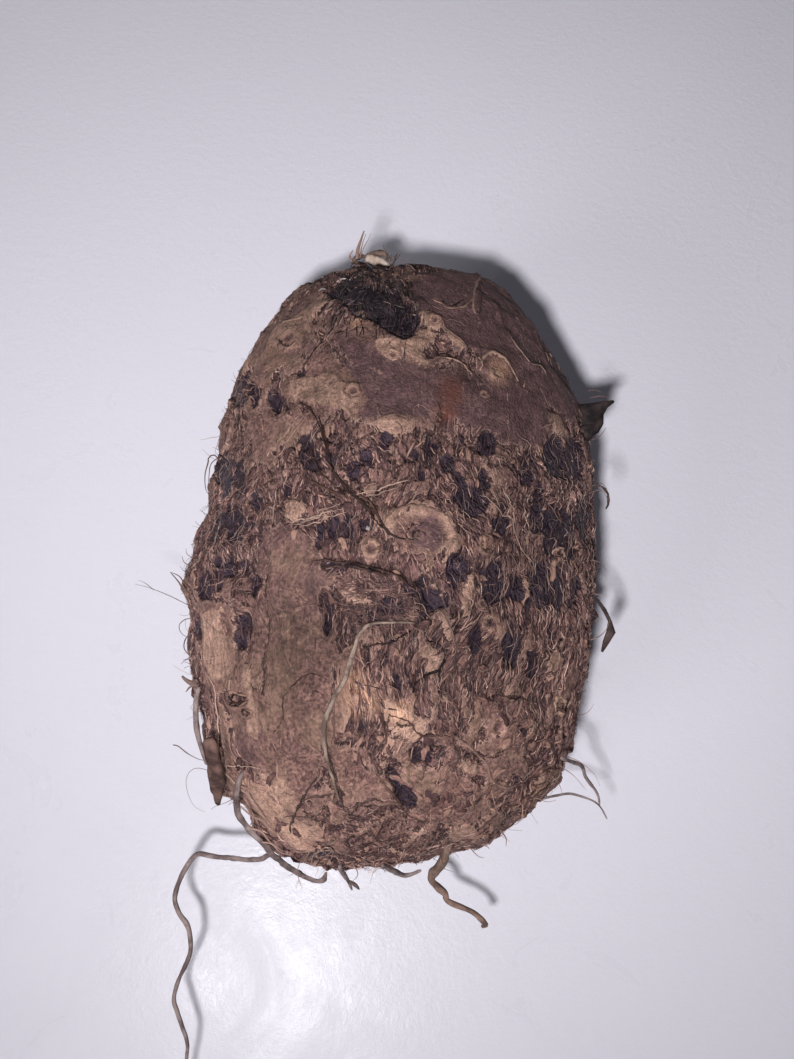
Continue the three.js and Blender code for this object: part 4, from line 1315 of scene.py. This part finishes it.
# Each root: its route, or the plan of one that lies on the skin. Where it is traced in the view, the
# route says how deep it lies, buried how far its start goes into the skin, and beyond how many of the
# route's last places follow the traced ones.
rootBranches = {
    "surface": {
        "diameter": 0.6, "seed": 201, "taper": (0.5, 0.5), "rough": 0.36, "lift": 0.25,
        "plan": [(-1.5, -23.5), (-4.5, -23.5), (-7.5, -24), (-9, -26.5), (-10, -29.5), (-11.5, -32),
            (-12.5, -35), (-12, -38.5), (-10.5, -42.5)],
    },
    "strap": {
        "diameter": 0.98, "seed": 203, "taper": (0.5, 0.7), "rough": 0.42, "flat": 0.75, "buried": 3.0,
        "route": [(-22, -36.5, 47), (-24.2, -39.8, 45), (-24.8, -42, 42), (-24, -44, 38.5),
            (-21, -46.5, 38), (-19, -48.5, 36), (-16, -50, 29.5), (-13.5, -51, 28), (-12, -50, 31)],
        "traced": [(244, 772), (238, 783), (236, 797), (238, 814), (248, 829), (261, 842), (271, 853),
            (284, 864), (300, 874), (315, 881), (323, 880), (326, 873)],
    },
    "trailing": {
        "diameter": 0.66, "seed": 204, "taper": (1.0, 0.6), "rough": 0.3, "beyond": 2,
        "route": [(-17, -49.5, 33), (-21.5, -48.6, 30.5), (-26.5, -47, 27.5), (-30, -46.5, 26.5),
            (-33, -50, 25.5), (-33, -52, 25), (-30.5, -56.5, 24), (-31, -60.5, 23), (-33, -63.5, 22.5),
            (-31, -69, 21), (-31, -72, 20), (-31.5, -75.5, 18.5), (-30.5, -80, 17)],
        "traced": [(279, 858), (269, 855), (261, 859), (248, 860), (232, 858), (215, 857), (199, 854),
            (190, 861), (181, 877), (175, 895), (178, 911), (187, 925), (190, 938), (190, 952),
            (185, 966), (178, 982), (174, 998), (177, 1012), (182, 1026), (187, 1042), (187, 1057)],
    },
    "hook": {
        "diameter": 1.0, "seed": 205, "taper": (1.2, 0.7), "rough": 0.34,
        "route": [(4.5, -46.5, 36), (3.6, -49.2, 33), (2.5, -51, 29.5), (4.5, -53, 28), (5, -54, 27.5),
            (8.5, -55.5, 26), (10.5, -57, 25), (10, -57.5, 24.5)],
    },
    "under": {
        "diameter": 0.8, "seed": 206, "rough": 0.24,
        "route": [(-5, -49.5, 38), (-3, -50, 33), (-1, -50.5, 29), (1, -50, 30.5)],
    },
    "side": {
        "diameter": 0.8, "seed": 207,
        "route": [(-29, -27, 44), (-29.4, -29, 43), (-29.3, -32, 41.5), (-28.8, -34, 40.5),
            (-27.9, -36.5, 40)],
    },
    "lower right": {
        "diameter": 0.55, "seed": 208, "rough": 0.28,
        "route": [(18, -38, 47), (20, -38, 44), (23, -38, 39.5), (24.5, -39, 36), (26.5, -41, 34),
            (27, -42.5, 33)],
    },
    "arc": {
        "diameter": 0.36, "seed": 209, "rough": 0.28,
        "route": [(18, -41.6, 35), (20.4, -41.1, 34), (23, -40.8, 33), (26.1, -41.6, 32),
            (27.7, -42.5, 31), (28.8, -44.1, 30)],
    },
    "fork stem": {
        "diameter": 0.7, "seed": 210,
        "route": [(-10.5, -49.5, 39), (-10, -50, 34), (-9, -51, 28), (-8.5, -52, 27)],
    },
    "fork branch": {
        "diameter": 0.5, "seed": 211,
        "route": [(-9, -50.9, 28.5), (-8, -51.5, 28), (-7.5, -52, 27.5)],
    },
    "flat stub": {
        "diameter": 2.1, "seed": 212, "taper": (0.85, 0.4), "rough": 0.34, "flat": 0.55,
        "firstUp": cameraBack,
        "route": [(-26.5, -35.5, 45.5), (-26.5, -38, 43), (-26.5, -39.5, 40.5), (-26.5, -41, 37)],
        "traced": [(209, 738), (213, 756), (216, 778), (218, 805)],
    },
}


def branchShape(diameter, seed, route=(), plan=None, lift=0, traced=None, buried=0, beyond=0, **looks):
    line = smoothLine(route, 0.3) if plan is None else overTop(plan, lift)
    if traced:
        seen = levelWith(traced, route)
        seen[:2] -= np.outer((1, 0.4), cameraBack) * buried
        line = smoothLine([*seen, *route[len(route) - beyond:]], 0.3)
    return rootShape(line, diameter, seed, **looks)


def branchShapes(*names):
    return [branchShape(**rootBranches[name]) for name in names]


dryRoot = rootFinish("dry brown root", (0.115, 0.080, 0.078), (0.295, 0.225, 0.216))
tanRoot = rootFinish("tan root", (0.095, 0.058, 0.049), (0.27, 0.172, 0.135))
paleRoot = rootFinish("pale dry root", (0.115, 0.077, 0.063), (0.35, 0.255, 0.21))
redRoot = rootFinish("reddish root stub", (0.050, 0.027, 0.025), (0.175, 0.098, 0.080))
scrapSkin = rootFinish("papery skin scrap", (0.024, 0.015, 0.016), (0.075, 0.045, 0.042))
flapSkin = rootFinish("dark skin flap", (0.007, 0.004, 0.005), (0.034, 0.019, 0.019))
shootTissue = rootFinish("shoot tissue", (0.27, 0.19, 0.15), (0.50, 0.41, 0.355))
bristleBrown = rootFinish("brown collar bristle", (0.048, 0.029, 0.025), (0.16, 0.105, 0.085))

rootPieces = {  # the CAD node that each piece replaces, its slot, finish and branches
    "strap_root_body": ("strap_root", "dry_root", dryRoot, ["strap"]),
    "trailing_root_body": ("trailing_root", "dry_root", dryRoot, ["trailing"]),
    "hook_root_body": ("hook_root", "dry_root", tanRoot, ["hook"]),
    "under_root_body": ("under_root", "dry_root", dryRoot, ["under"]),
    "side_root_body": ("side_root", "dry_root", dryRoot, ["side"]),
    "lower_right_root_body": ("lower_right_root", "dry_root", dryRoot, ["lower right", "arc"]),
    "forked_rootlet_body": ("forked_rootlet", "dry_root", dryRoot, ["fork stem", "fork branch"]),
    "red_root_stub": ("flat_root_stub", "red_stub", redRoot, ["flat stub"]),
}

shootSetup = {
    "seed": 221,
    "line": [(366, 258), (372, 260), (379, 263), (386, 267), (392, 272)],  # in the view, as the collars
    "collars": [[(352, 264), (356, 258), (362, 256), (368, 258)],
                [(366, 256), (374, 253), (384, 254), (391, 260)],
                [(354, 262), (362, 264), (370, 270), (380, 274)]],
    "diameter": 2.3,
    "collarDiameter": 1.0,
    "bristles": 8,
    "bristleTurn": (2.6, 0.9),  # radians round the stump: the mean and the spread
    "bristleRing": (1.7, 2.6),
    "bristleRoot": 2.2,  # below the middle of the stump
    "bristleLength": (0.6, 2.2),
    "bristleWidth": (0.08, 0.3),
}


def addShoot():  # the dried stump of the shoot, the collars round it and torn bristles, most on its left
    low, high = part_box("shoot_stub")
    base = np.array((low + high) / 2) / mm
    way = unit(base - middle)
    side = unit(np.cross(way, np.array([0.0, 0.0, 1.0])))
    above = np.cross(side, way)
    line = smoothLine(beside(shootSetup["line"], base), 0.12)
    seed = shootSetup["seed"]
    stump = rootShape(line, shootSetup["diameter"], seed, 1, (0.78, 0.7), 0.12, 28, above)
    addRoot("shoot_stub_body", [stump], shootTissue, "shoot_stub")
    shapes = []
    for place, points in enumerate(shootSetup["collars"]):
        line = smoothLine(beside(points, base), 0.2)
        shapes.append(rootShape(line, shootSetup["collarDiameter"], seed + 5 + place, 1, (0.6, 0.5), 0.25))
    random = np.random.default_rng(seed + 1)
    for index in range(shootSetup["bristles"]):
        angle = random.normal(*shootSetup["bristleTurn"])
        spread = -side * math.cos(angle) + above * math.sin(angle)
        root = base - way * shootSetup["bristleRoot"] + spread * random.uniform(*shootSetup["bristleRing"])
        length = random.uniform(*shootSetup["bristleLength"])
        lean = way + spread * random.uniform(0.0, 0.5) + np.array([0, 0, 0.35])
        bow = random.normal(0, 0.3, 3)
        bend, tip = root + lean * length * 0.6 + bow, root + lean * length * 1.1 + bow * 2.5
        width = random.uniform(*shootSetup["bristleWidth"])
        line = smoothLine([root, bend, tip], 0.3)
        shapes.append(rootShape(line, width, seed + 9 + index, 0.7, (1, 0.25), sides=6))
    addRoot("shoot_bristles", shapes, bristleBrown)


scraps = {  # torn scraps of skin beside the corm: lines in the view, with the mm wide at each place
    "side_flap_scrap": {
        "node": "side_flap", "seed": 216, "finish": flapSkin,
        "lines": [[(576, 424), (586, 417), (597, 409), (606, 404), (614, 401)],
                  [(578, 436), (588, 432), (595, 428), (600, 422), (603, 414)]],
        "widths": [[5.6, 4.4, 2.6, 1.2, 0.3], [2.6, 2.2, 1.6, 0.9, 0.3]],
    },
    "right_curl_scrap": {
        "node": "right_curl", "seed": 217, "finish": scrapSkin,
        "lines": [[(590, 594), (598, 601), (605, 610), (610, 621), (611, 632), (607, 643), (602, 652)],
                  [(596, 485), (601, 486), (605, 489), (608, 494), (609, 500), (608, 505), (606, 509)]],
        "widths": [[0.3, 0.35, 0.5, 0.8, 1.3, 1.0, 0.3], [0.25, 0.3, 0.35, 0.45, 0.45, 0.3, 0.2]],
    },
}


def addScrap(name, node, seed, finish, lines, widths):
    low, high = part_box(node)
    lines = np.array([beside(line, (low + high) / 2 / mm) for line in lines])
    ups = np.broadcast_to(cameraBack, lines.shape)
    tones = np.linspace(0.3, 0.5, len(lines))
    piece = plates(name, lines, ups, np.array(widths), finish, tones, seed)
    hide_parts(node)


addRoot("pale_surface_root", branchShapes("surface"), paleRoot, "surface_root")
addShoot()
for name, (node, slot, finish, branches) in rootPieces.items():
    addRoot(name, branchShapes(*branches), finish, node)
for name, values in scraps.items():
    addScrap(name, **values)
print("roots made")


def ringLine(x, y, radius, start=0.0, part=1.03):  # an open or full ring round a scar
    ring = []
    for angle in math.radians(start) + np.linspace(0, 2 * math.pi * part, 14):
        reach = radius * (1 + 0.13 * math.sin(2.7 * angle + x) + 0.1 * math.sin(5.3 * angle + y))
        ring.append((x + reach * math.cos(angle), y + reach * 0.92 * math.sin(angle)))
    return ring


# Strips that stand out on the skin: line in the view, mm wide, mm high and mm above the skin.
ridgeStrips = {
    "star ridge": ([(407, 309), (417, 315), (429, 313), (440, 317), (446, 330), (459, 341), (471, 352),
        (481, 365)], 0.5, 0.35, -0.05),
    "star edge": (starEdge, 0.4, 0.3, -0.05),
    "top ridge": ([(478, 281), (475, 289), (473, 297), (473, 306), (476, 318)], 0.5, 0.45, -0.02),
    "top arm": ([(473, 300), (466, 304), (457, 306), (448, 305), (441, 300)], 0.36, 0.35, -0.02),
    "plate rim": ([(333, 372), (338, 383), (341, 396), (339, 403), (347, 410), (353, 420), (366, 424),
        (378, 422), (385, 417), (398, 416), (414, 418)], 0.6, 0.3, -0.08),
    "shoulder edge": ([(341, 319), (335, 331), (325, 342), (315, 351)], 0.3, 0.3, 0.0),
    "shoulder ring": ([(271, 328), (286, 320), (305, 316), (310, 328), (312, 345)], 0.8, 0.5, -0.14),
    "low ridge": ([(430, 736), (450, 736), (464, 741), (475, 752), (487, 764), (490, 776), (497, 786),
        (508, 789), (528, 786)], 0.34, 0.34, 0.0),
    "shoulder bundle": ([(283, 440), (292, 428), (302, 420)], 0.5, 0.3, 0.1),
    "shoulder bundle two": ([(287, 443), (297, 431), (308, 421)], 0.35, 0.3, 0.1),
}
# raised rims round the scars
ringStrips = {
    "bud": (ringLine(494, 376, 4.0), 0.7, 0.5, -0.02),
    "bud arc": ([(480, 372), (482, 360), (492, 353), (503, 359), (511, 371), (518, 382)], 0.5, 0.4, -0.02),
    "great eye": (ringLine(421, 534, 5, 60, 0.7), 0.3, 0.2, -0.05),
    "great ring": (ringLine(419, 533, 11, 120, 0.4), 0.3, 0.2, -0.06),
    "great outer": ([(388, 540), (385, 526), (390, 514), (402, 507), (418, 506), (434, 509), (448, 518)],
        0.5, 0.35, -0.08),
    "below scar": (ringLine(371, 549, 10, 140, 0.75), 0.45, 0.4, -0.06),
    "left tan": (ringLine(354, 393, 7.5, 200), 0.45, 0.45, -0.08),
    "star": (ringLine(393, 357, 5.5, 90), 0.4, 0.4, -0.08),
    "ridge": (ringLine(434, 322, 6.5, 30), 0.45, 0.45, -0.08),
    "shoulder": (ringLine(289, 337, 11, 150, 0.8), 0.5, 0.45, -0.1),
    "near great": (ringLine(487, 546, 7.5, 60, 0.75), 0.55, 0.45, -0.1),
    "right": (ringLine(562, 554, 6, 180, 0.8), 0.4, 0.4, -0.05),
    "middle low": (ringLine(491, 623, 6.5, 100, 0.75), 0.55, 0.4, -0.1),
    "low": (ringLine(497, 727, 6.5, 60, 0.7), 0.6, 0.5, -0.1),
    "left pit": (ringLine(236, 700, 8, 170, 0.8), 0.4, 0.4, -0.08),
    "low left": (ringLine(249, 711, 6, 240, 0.8), 0.4, 0.4, -0.08),
    "right low": (ringLine(561, 706, 7, 80, 0.9), 0.6, 0.5, -0.06),
}
paleStrips = {
    "right line": ([(508, 332), (511, 339), (523, 355), (532, 363), (541, 366), (547, 373)],
        0.15, 0.15, 0.02),
    "right line two": ([(539, 388), (543, 396), (547, 406), (550, 414)], 0.15, 0.15, 0.02),
    "right line three": ([(551, 345), (554, 356), (558, 366)], 0.15, 0.15, 0.02),
    "lower strand": ([(440, 611), (450, 630), (457, 650)], 0.22, 0.22, 0.2),
    "long strand": ([(484, 488), (499, 508), (512, 516), (515, 530), (523, 549), (534, 563)],
        0.13, 0.13, 0.2),
    "curved strand": ([(523, 498), (526, 516), (531, 526), (527, 544)], 0.16, 0.16, 0.25),
    "short strand": ([(502, 487), (510, 501), (510, 512)], 0.16, 0.16, 0.25),
    "low strand": ([(505, 557), (508, 580), (503, 599), (501, 617)], 0.16, 0.16, 0.25),
    "left strand": ([(275, 480), (273, 505), (272, 534)], 0.16, 0.16, 0.25),
    "bundle one": ([(293, 526), (314, 517), (342, 508)], 0.22, 0.2, 0.2),
    "bundle two": ([(296, 523), (316, 513), (341, 504)], 0.18, 0.2, 0.25),
    "bundle three": ([(290, 522), (310, 516), (330, 512)], 0.24, 0.2, 0.15),
    "bundle four": ([(300, 528), (322, 519), (345, 511)], 0.16, 0.16, 0.2),
    "upper bundle": ([(356, 497), (376, 490), (410, 480)], 0.24, 0.2, 0.25),
    "upper bundle two": ([(358, 499), (378, 494), (402, 487)], 0.18, 0.2, 0.2),
    "right curl": ([(556, 551), (560, 548), (566, 551), (568, 558), (562, 561)], 0.16, 0.16, 0.2),
    "tangle one": ([(306, 858), (308, 850), (318, 846), (330, 848), (335, 856)], 0.16, 0.16, 0.35),
    "tangle two": ([(310, 861), (314, 853), (324, 850), (332, 855), (330, 862)], 0.14, 0.14, 0.45),
    "tangle three": ([(304, 852), (312, 848), (322, 852), (328, 858), (338, 858)], 0.14, 0.14, 0.3),
    "tangle four": ([(300, 856), (310, 855), (318, 858), (326, 856), (336, 850)], 0.12, 0.12, 0.5),
    "tangle five": ([(318, 862), (316, 854), (322, 846), (330, 846), (336, 852)], 0.12, 0.12, 0.4),
    "left long one": ([(208, 668), (216, 684), (219, 704), (217, 730), (222, 758), (236, 780),
        (258, 798)], 0.2, 0.2, 0.3),
    "left long two": ([(206, 761), (222, 762), (240, 765), (262, 768)], 0.18, 0.18, 0.3),
    "left long three": ([(223, 762), (221, 776), (222, 788)], 0.16, 0.16, 0.3),
    "left upright": ([(214, 520), (212, 536), (213, 552)], 0.2, 0.16, 0.1),
}
rootEndCracks = {
    "end one": ([(318, 776), (310, 785), (304, 797), (297, 811), (291, 825), (290, 833)], 0.4, 0.25, 0.0),
    "end two": ([(302, 799), (312, 795), (322, 794), (334, 792)], 0.3, 0.2, 0.0),
    "end three": ([(285, 816), (300, 813), (312, 815), (322, 820)], 0.3, 0.2, 0.0),
    "end four": ([(327, 806), (328, 820), (332, 830), (338, 836)], 0.32, 0.2, 0.0),
    "end five": ([(352, 814), (357, 804), (366, 800), (374, 799), (383, 803)], 0.35, 0.22, 0.0),
    "end six": ([(366, 744), (371, 758), (379, 775), (391, 792), (402, 808)], 0.35, 0.3, 0.0),
    "end tail": ([(326, 738), (329, 756), (335, 776), (342, 797), (344, 808)], 0.26, 0.26, 0.12),
    "end seven": ([(396, 722), (400, 726), (411, 725)], 0.3, 0.2, 0.0),
    "end eight": ([(388, 715), (386, 732), (390, 748)], 0.35, 0.2, 0.0),
    "end nine": ([(364, 830), (380, 838), (396, 845), (414, 850)], 0.35, 0.3, 0.0),
    "end ten": ([(444, 794), (455, 795), (466, 793), (478, 790)], 0.25, 0.15, 0.0),
    "end eleven": ([(425, 814), (440, 812), (450, 820), (452, 830)], 0.25, 0.15, 0.0),
    "end twelve": ([(330, 700), (334, 712), (333, 726), (336, 745)], 0.3, 0.2, 0.0),
}
darkStrips = {
    "shoulder one": ([(303, 407), (316, 417), (328, 456), (338, 477), (356, 498), (370, 506), (386, 529),
        (395, 538), (405, 540)], 0.36, 0.36, 0.22),
    "shoulder two": ([(306, 439), (315, 463), (331, 481), (348, 496)], 0.34, 0.34, 0.18),
    "shoulder three": ([(300, 474), (318, 484), (336, 492), (352, 500)], 0.28, 0.28, 0.16),
    "shoulder four": ([(345, 490), (362, 502), (376, 520), (390, 535)], 0.34, 0.34, 0.3),
    "shoulder five": ([(320, 420), (326, 440), (330, 462), (340, 478), (352, 489)], 0.26, 0.26, 0.25),
    "shoulder six": ([(352, 496), (366, 500), (376, 512), (381, 524)], 0.28, 0.28, 0.35),
    # dark strands along the flap's upper edge: a dark fibrous edge, with painted shadow under it
    "flap edge": ([(312, 572), (318, 562), (340, 563), (362, 566), (384, 571), (404, 581), (416, 592),
        (420, 606), (421, 620)], 0.36, 0.3, 0.08),
    "flap edge two": ([(322, 568), (344, 567), (366, 570), (388, 577)], 0.4, 0.3, 0.1),
    "left pit": ([(226, 699), (232, 694), (241, 693), (247, 697), (243, 702), (233, 703), (226, 700)],
        0.3, 0.25, 0.02),
    "left crack": (leftCrack, 0.2, 0.1, 0.0),
    "lower crack": (lowerCrack + [(267, 728)], 0.22, 0.1, 0.0),
    "shoulder edge": ([(338, 320), (332, 332), (322, 343), (312, 353), (300, 370), (288, 380)],
        0.32, 0.25, 0.0),
    # a dark strip that is painted shade below the knob of the shoulder scar
    "shade under shoulder knob": ([(280, 341), (284, 346), (290, 346), (295, 341)], 0.45, 0.2, -0.02),
    "right fold": ([(494, 305), (501, 318), (508, 332), (514, 346)], 0.3, 0.2, 0.0),
    "right crack": ([(505, 695), (518, 697), (531, 700)], 0.25, 0.15, 0.0),
    "middle crack": ([(470, 746), (480, 753), (491, 755), (500, 754)], 0.3, 0.2, 0.0),
    "low right crack": ([(531, 718), (540, 724), (547, 733)], 0.25, 0.15, 0.0),
    "crown crack": ([(374, 335), (360, 330), (350, 333), (337, 335), (330, 345), (318, 353), (305, 360)],
        0.25, 0.15, 0.0),
    "top crack": ([(440, 296), (446, 301), (454, 303), (463, 300)], 0.4, 0.2, -0.02),
    "top crack two": ([(411, 283), (410, 290), (414, 297)], 0.5, 0.2, -0.02),
    "top crack three": ([(423, 272), (432, 276), (446, 278)], 0.4, 0.2, -0.02),
    "beside top ridge": ([(478, 286), (480, 300), (478, 318)], 0.25, 0.15, 0.0),
    "lobe arc": ([(426, 641), (440, 646), (444, 655), (437, 669), (418, 681), (411, 694)], 0.3, 0.25, 0.1),
    "down strand": ([(413, 640), (411, 670), (418, 703)], 0.25, 0.25, 0.15),
    "level strand": ([(362, 646), (380, 645), (397, 640), (411, 631)], 0.25, 0.25, 0.2),
    "low branch": ([(388, 714), (408, 721), (420, 732), (448, 735), (466, 740)], 0.25, 0.2, 0.1),
    "low branch two": ([(382, 712), (384, 730), (390, 748)], 0.25, 0.2, 0.1),
    "centre line": ([(437, 400), (441, 415), (440, 430)], 0.3, 0.2, 0.1),
    "arc crack": ([(474, 707), (483, 700), (495, 697), (505, 697), (518, 698), (531, 701)], 0.3, 0.2, 0.0),
    "pit one": (ringLine(562, 706, 6, 0, 0.9), 0.25, 0.2, 0.0),
    "pit two": (ringLine(236, 700, 6, 40, 0.85), 0.3, 0.2, 0.05),
    "pit three": (ringLine(249, 711, 4, 100, 0.85), 0.25, 0.2, 0.05),
    "flank one": ([(497, 822), (508, 808), (520, 800), (536, 790)], 0.25, 0.2, 0.05),
    "flank two": ([(510, 816), (522, 803), (540, 788), (552, 776)], 0.25, 0.2, 0.05),
    "flank three": ([(524, 786), (534, 778), (546, 768), (558, 764)], 0.25, 0.2, 0.05),
    "eye": (ringLine(419, 535, 5.5, 100, 0.8), 0.2, 0.15, 0.0),
    "eye outer": (ringLine(420, 533, 12, 130, 0.5), 0.22, 0.15, 0.0),
    # a dark strand that is painted shadow under the shoot stump
    "shadow under shoot": ([(367, 266), (374, 270), (384, 273), (392, 276)], 0.5, 0.3, 0.0),
    "hook line": ([(278, 517), (283, 524), (292, 523)], 0.2, 0.15, 0.0),
}
chips = {
    "silvery chip": ([(319, 293), (323, 290), (330, 287)], 0.6, 0.2, 0.02),
    "silvery sliver": ([(336, 282), (343, 279), (350, 277)], 0.35, 0.2, 0.02),
    # a pale speck that is a painted glint
    "painted glint speck": ([(366, 525), (368, 527), (370, 529)], 0.45, 0.45, 0.2),
}
# hairs and fibres beside the corm: line in the view, a place on the skin level with it, mm wide
edgeHairs = {
    "left loop": ([(219, 461), (215, 455), (209, 457), (208, 463), (205, 475), (206, 490), (212, 498)],
        (222, 470), 0.22),
    "left loop two": ([(218, 458), (211, 464), (209, 476), (209, 488), (213, 494)], (222, 470), 0.16),
    "out one": ([(190, 594), (184, 590), (178, 581), (171, 573)], (196, 590), 0.3),
    "out two": ([(190, 588), (185, 584), (179, 576), (170, 572)], (196, 590), 0.22),
    "out three": ([(190, 606), (170, 596), (150, 588), (135, 584)], (196, 600), 0.12),
    "out four": ([(154, 590), (145, 583), (138, 580)], (196, 600), 0.1),
    "flap hair": ([(590, 398), (600, 396), (610, 398)], (574, 400), 0.2),
    "flap hair two": ([(592, 440), (600, 436), (606, 428)], (576, 436), 0.16),
    "flap hair three": ([(588, 391), (595, 390), (603, 393)], (574, 394), 0.14),
    "frizz one": ([(190, 566), (184, 562), (182, 556)], (196, 570), 0.14),
    "frizz two": ([(191, 574), (184, 571), (180, 566)], (196, 570), 0.12),
    "frizz three": ([(193, 558), (187, 554), (186, 548)], (198, 560), 0.12),
    "low frizz": ([(192, 618), (184, 620), (179, 626), (182, 634), (190, 638)], (198, 625), 0.14),
    "low frizz two": ([(193, 632), (186, 638), (184, 648), (190, 656), (200, 664)], (200, 640), 0.18),
    "low frizz three": ([(195, 655), (187, 659), (181, 664)], (200, 660), 0.16),
    "brown nub": ([(198, 680), (192, 683), (186, 680), (182, 676)], (202, 680), 0.8),
    "brown nub two": ([(197, 684), (190, 687), (186, 692)], (202, 684), 0.4),
    "long fibre": ([(173, 745), (178, 746), (187, 753), (198, 759), (208, 761)], (216, 758), 0.16),
    "faint loop": ([(214, 772), (196, 768), (187, 776), (187, 790), (194, 806), (205, 812)], (222, 775),
        0.08),
    "upper one": ([(236, 418), (228, 414), (224, 406)], (240, 420), 0.1),
    "upper two": ([(244, 380), (236, 379), (233, 372)], (248, 382), 0.1),
    "right one": ([(592, 492), (600, 490), (606, 496), (609, 503)], (582, 492), 0.14),
    "right two": ([(592, 486), (601, 483), (607, 489)], (582, 486), 0.12),
    "right three": ([(592, 560), (601, 563), (606, 570)], (582, 560), 0.12),
    "right four": ([(590, 640), (600, 636), (607, 628), (610, 618)], (578, 640), 0.14),
    "right five": ([(578, 716), (588, 712), (594, 704)], (568, 716), 0.1),
    "low right one": ([(566, 756), (580, 762), (594, 774), (600, 786)], (552, 756), 0.12),
    "low right two": ([(560, 766), (574, 776), (586, 790)], (550, 764), 0.12),
    "low right three": ([(552, 776), (560, 786), (562, 796)], (544, 770), 0.12),
    "low right four": ([(536, 798), (548, 802), (556, 800)], (526, 792), 0.1),
    "foot one": ([(500, 830), (506, 838), (506, 846)], (494, 820), 0.2),
    "foot two": ([(470, 848), (478, 856), (484, 858)], (466, 836), 0.14),
    "foot three": ([(440, 858), (444, 868), (454, 872)], (440, 846), 0.12),
    "foot four": ([(300, 862), (296, 872), (288, 876)], (306, 848), 0.12),
    "foot five": ([(352, 862), (358, 874), (352, 882)], (350, 850), 0.16),
    "strap fibre one": ([(246, 790), (252, 802), (262, 814), (272, 826)], (262, 800), 0.3),
    "strap fibre two": ([(240, 806), (252, 816), (264, 822), (276, 834)], (264, 810), 0.24),
    "strap fibre three": ([(250, 828), (262, 832), (270, 842), (284, 852)], (276, 828), 0.3),
    "strap fibre four": ([(262, 842), (272, 844), (280, 852), (292, 856)], (284, 838), 0.22),
    "strap fibre five": ([(240, 786), (250, 790), (256, 800)], (258, 790), 0.2),
    "strap rootlet": ([(297, 873), (299, 880), (302, 889)], (300, 850), 0.12),
    "strap rootlet two": ([(299, 880), (297, 884), (296, 889)], (300, 850), 0.08),
    "tall bristle": ([(360, 258), (361, 250), (363, 242), (366, 234)], (366, 275), 0.22),
    "tall bristle two": ([(357, 259), (358, 249), (361, 240), (364, 231)], (366, 275), 0.6),
    "tall bristle three": ([(361, 255), (364, 247), (368, 240), (371, 233)], (366, 275), 0.15),
    "tall bristle four": ([(352, 262), (350, 256), (353, 250)], (360, 276), 0.3),
}


def strips(name, rows, material, seed, uneven, stations=20, replaced=None):
    random = np.random.default_rng(seed)
    routes, widths, heights, lifts = zip(*rows.values())
    lines, normals = [], []
    for route, lift in zip(routes, lifts):
        line = smoothLine([placeOf(x, y) for x, y in route], 0.2)
        place, normal = onSkin(evenly(line, stations))
        lines.append(place + normal * lift)
        normals.append(normal)
    lines, normals = np.array(lines), np.array(normals)
    lines += normals * random.normal(0, 0.03, lines.shape[:2])[..., None]
    across = np.cross(unit(np.gradient(lines, axis=1)), normals)
    lines += across * random.normal(0, 0.07, lines.shape[:2])[..., None]
    ends = np.sin(np.pi * np.linspace(0.04, 0.96, stations)) ** 0.35
    unevenness = np.clip(1 + uneven * random.normal(0, 1, lines.shape[:2]), 0.3, 2)
    widths = np.array(widths)[:, None] * ends * unevenness
    heights = np.array(heights)[:, None] * ends
    tones = random.uniform(0.2, 0.9, len(rows))
    piece = threads(name, lines, normals, widths, heights, material, tones, 6)
    if replaced:
        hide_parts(replaced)


def addEdgeHairs(stations=16):
    lines, widths = [], []
    shares = np.linspace(0, 1, stations)
    for points, anchor, width in edgeHairs.values():
        lines.append(evenly(smoothLine(beside(points, placeOf(*anchor)), 0.2), stations))
        widths.append(width * np.interp(shares, [0, 0.3, 1], [0.9, 1, 0.35]))
    ups = np.tile(cameraBack, (len(lines), stations, 1))
    widths = np.array(widths)
    tones = np.linspace(0.1, 0.9, len(lines))
    threads("edge_hairs", np.array(lines), ups, widths, widths, edgeThread, tones, 6)


ridgeThread = threadFinish("skin ridge", (0.09, 0.052, 0.042), (0.22, 0.138, 0.105))
rimThread = threadFinish("scar rim", (0.075, 0.043, 0.034), (0.21, 0.13, 0.098))
paleStrand = threadFinish("pale strand", (0.095, 0.060, 0.050), (0.25, 0.168, 0.134))
crackThread = threadFinish("brown crack edge", (0.02, 0.011, 0.010), (0.075, 0.040, 0.032))
darkStrand = threadFinish("dark strand", (0.006, 0.0035, 0.0038), (0.044, 0.022, 0.018), 0.6, 0.22)
chipThread = threadFinish("silvery dry scale", (0.16, 0.13, 0.125), (0.42, 0.38, 0.385), 0.5, 0.4)
edgeThread = threadFinish("edge hair", (0.05, 0.03, 0.028), (0.16, 0.10, 0.085))
strips("skin_ridges", ridgeStrips, ridgeThread, 303, 0.42)
strips("scar_rims", ringStrips, rimThread, 306, 0.42, 28)
strips("pale_strands", paleStrips, paleStrand, 301, 0.35)
strips("root_end_cracks", rootEndCracks, crackThread, 305, 0.38)
strips("shoulder_strands", darkStrips, darkStrand, 302, 0.5, 28, "shoulder_root")
addEdgeHairs()
strips("silvery_chips", chips, chipThread, 304, 0.2, 8)
print("strands made")
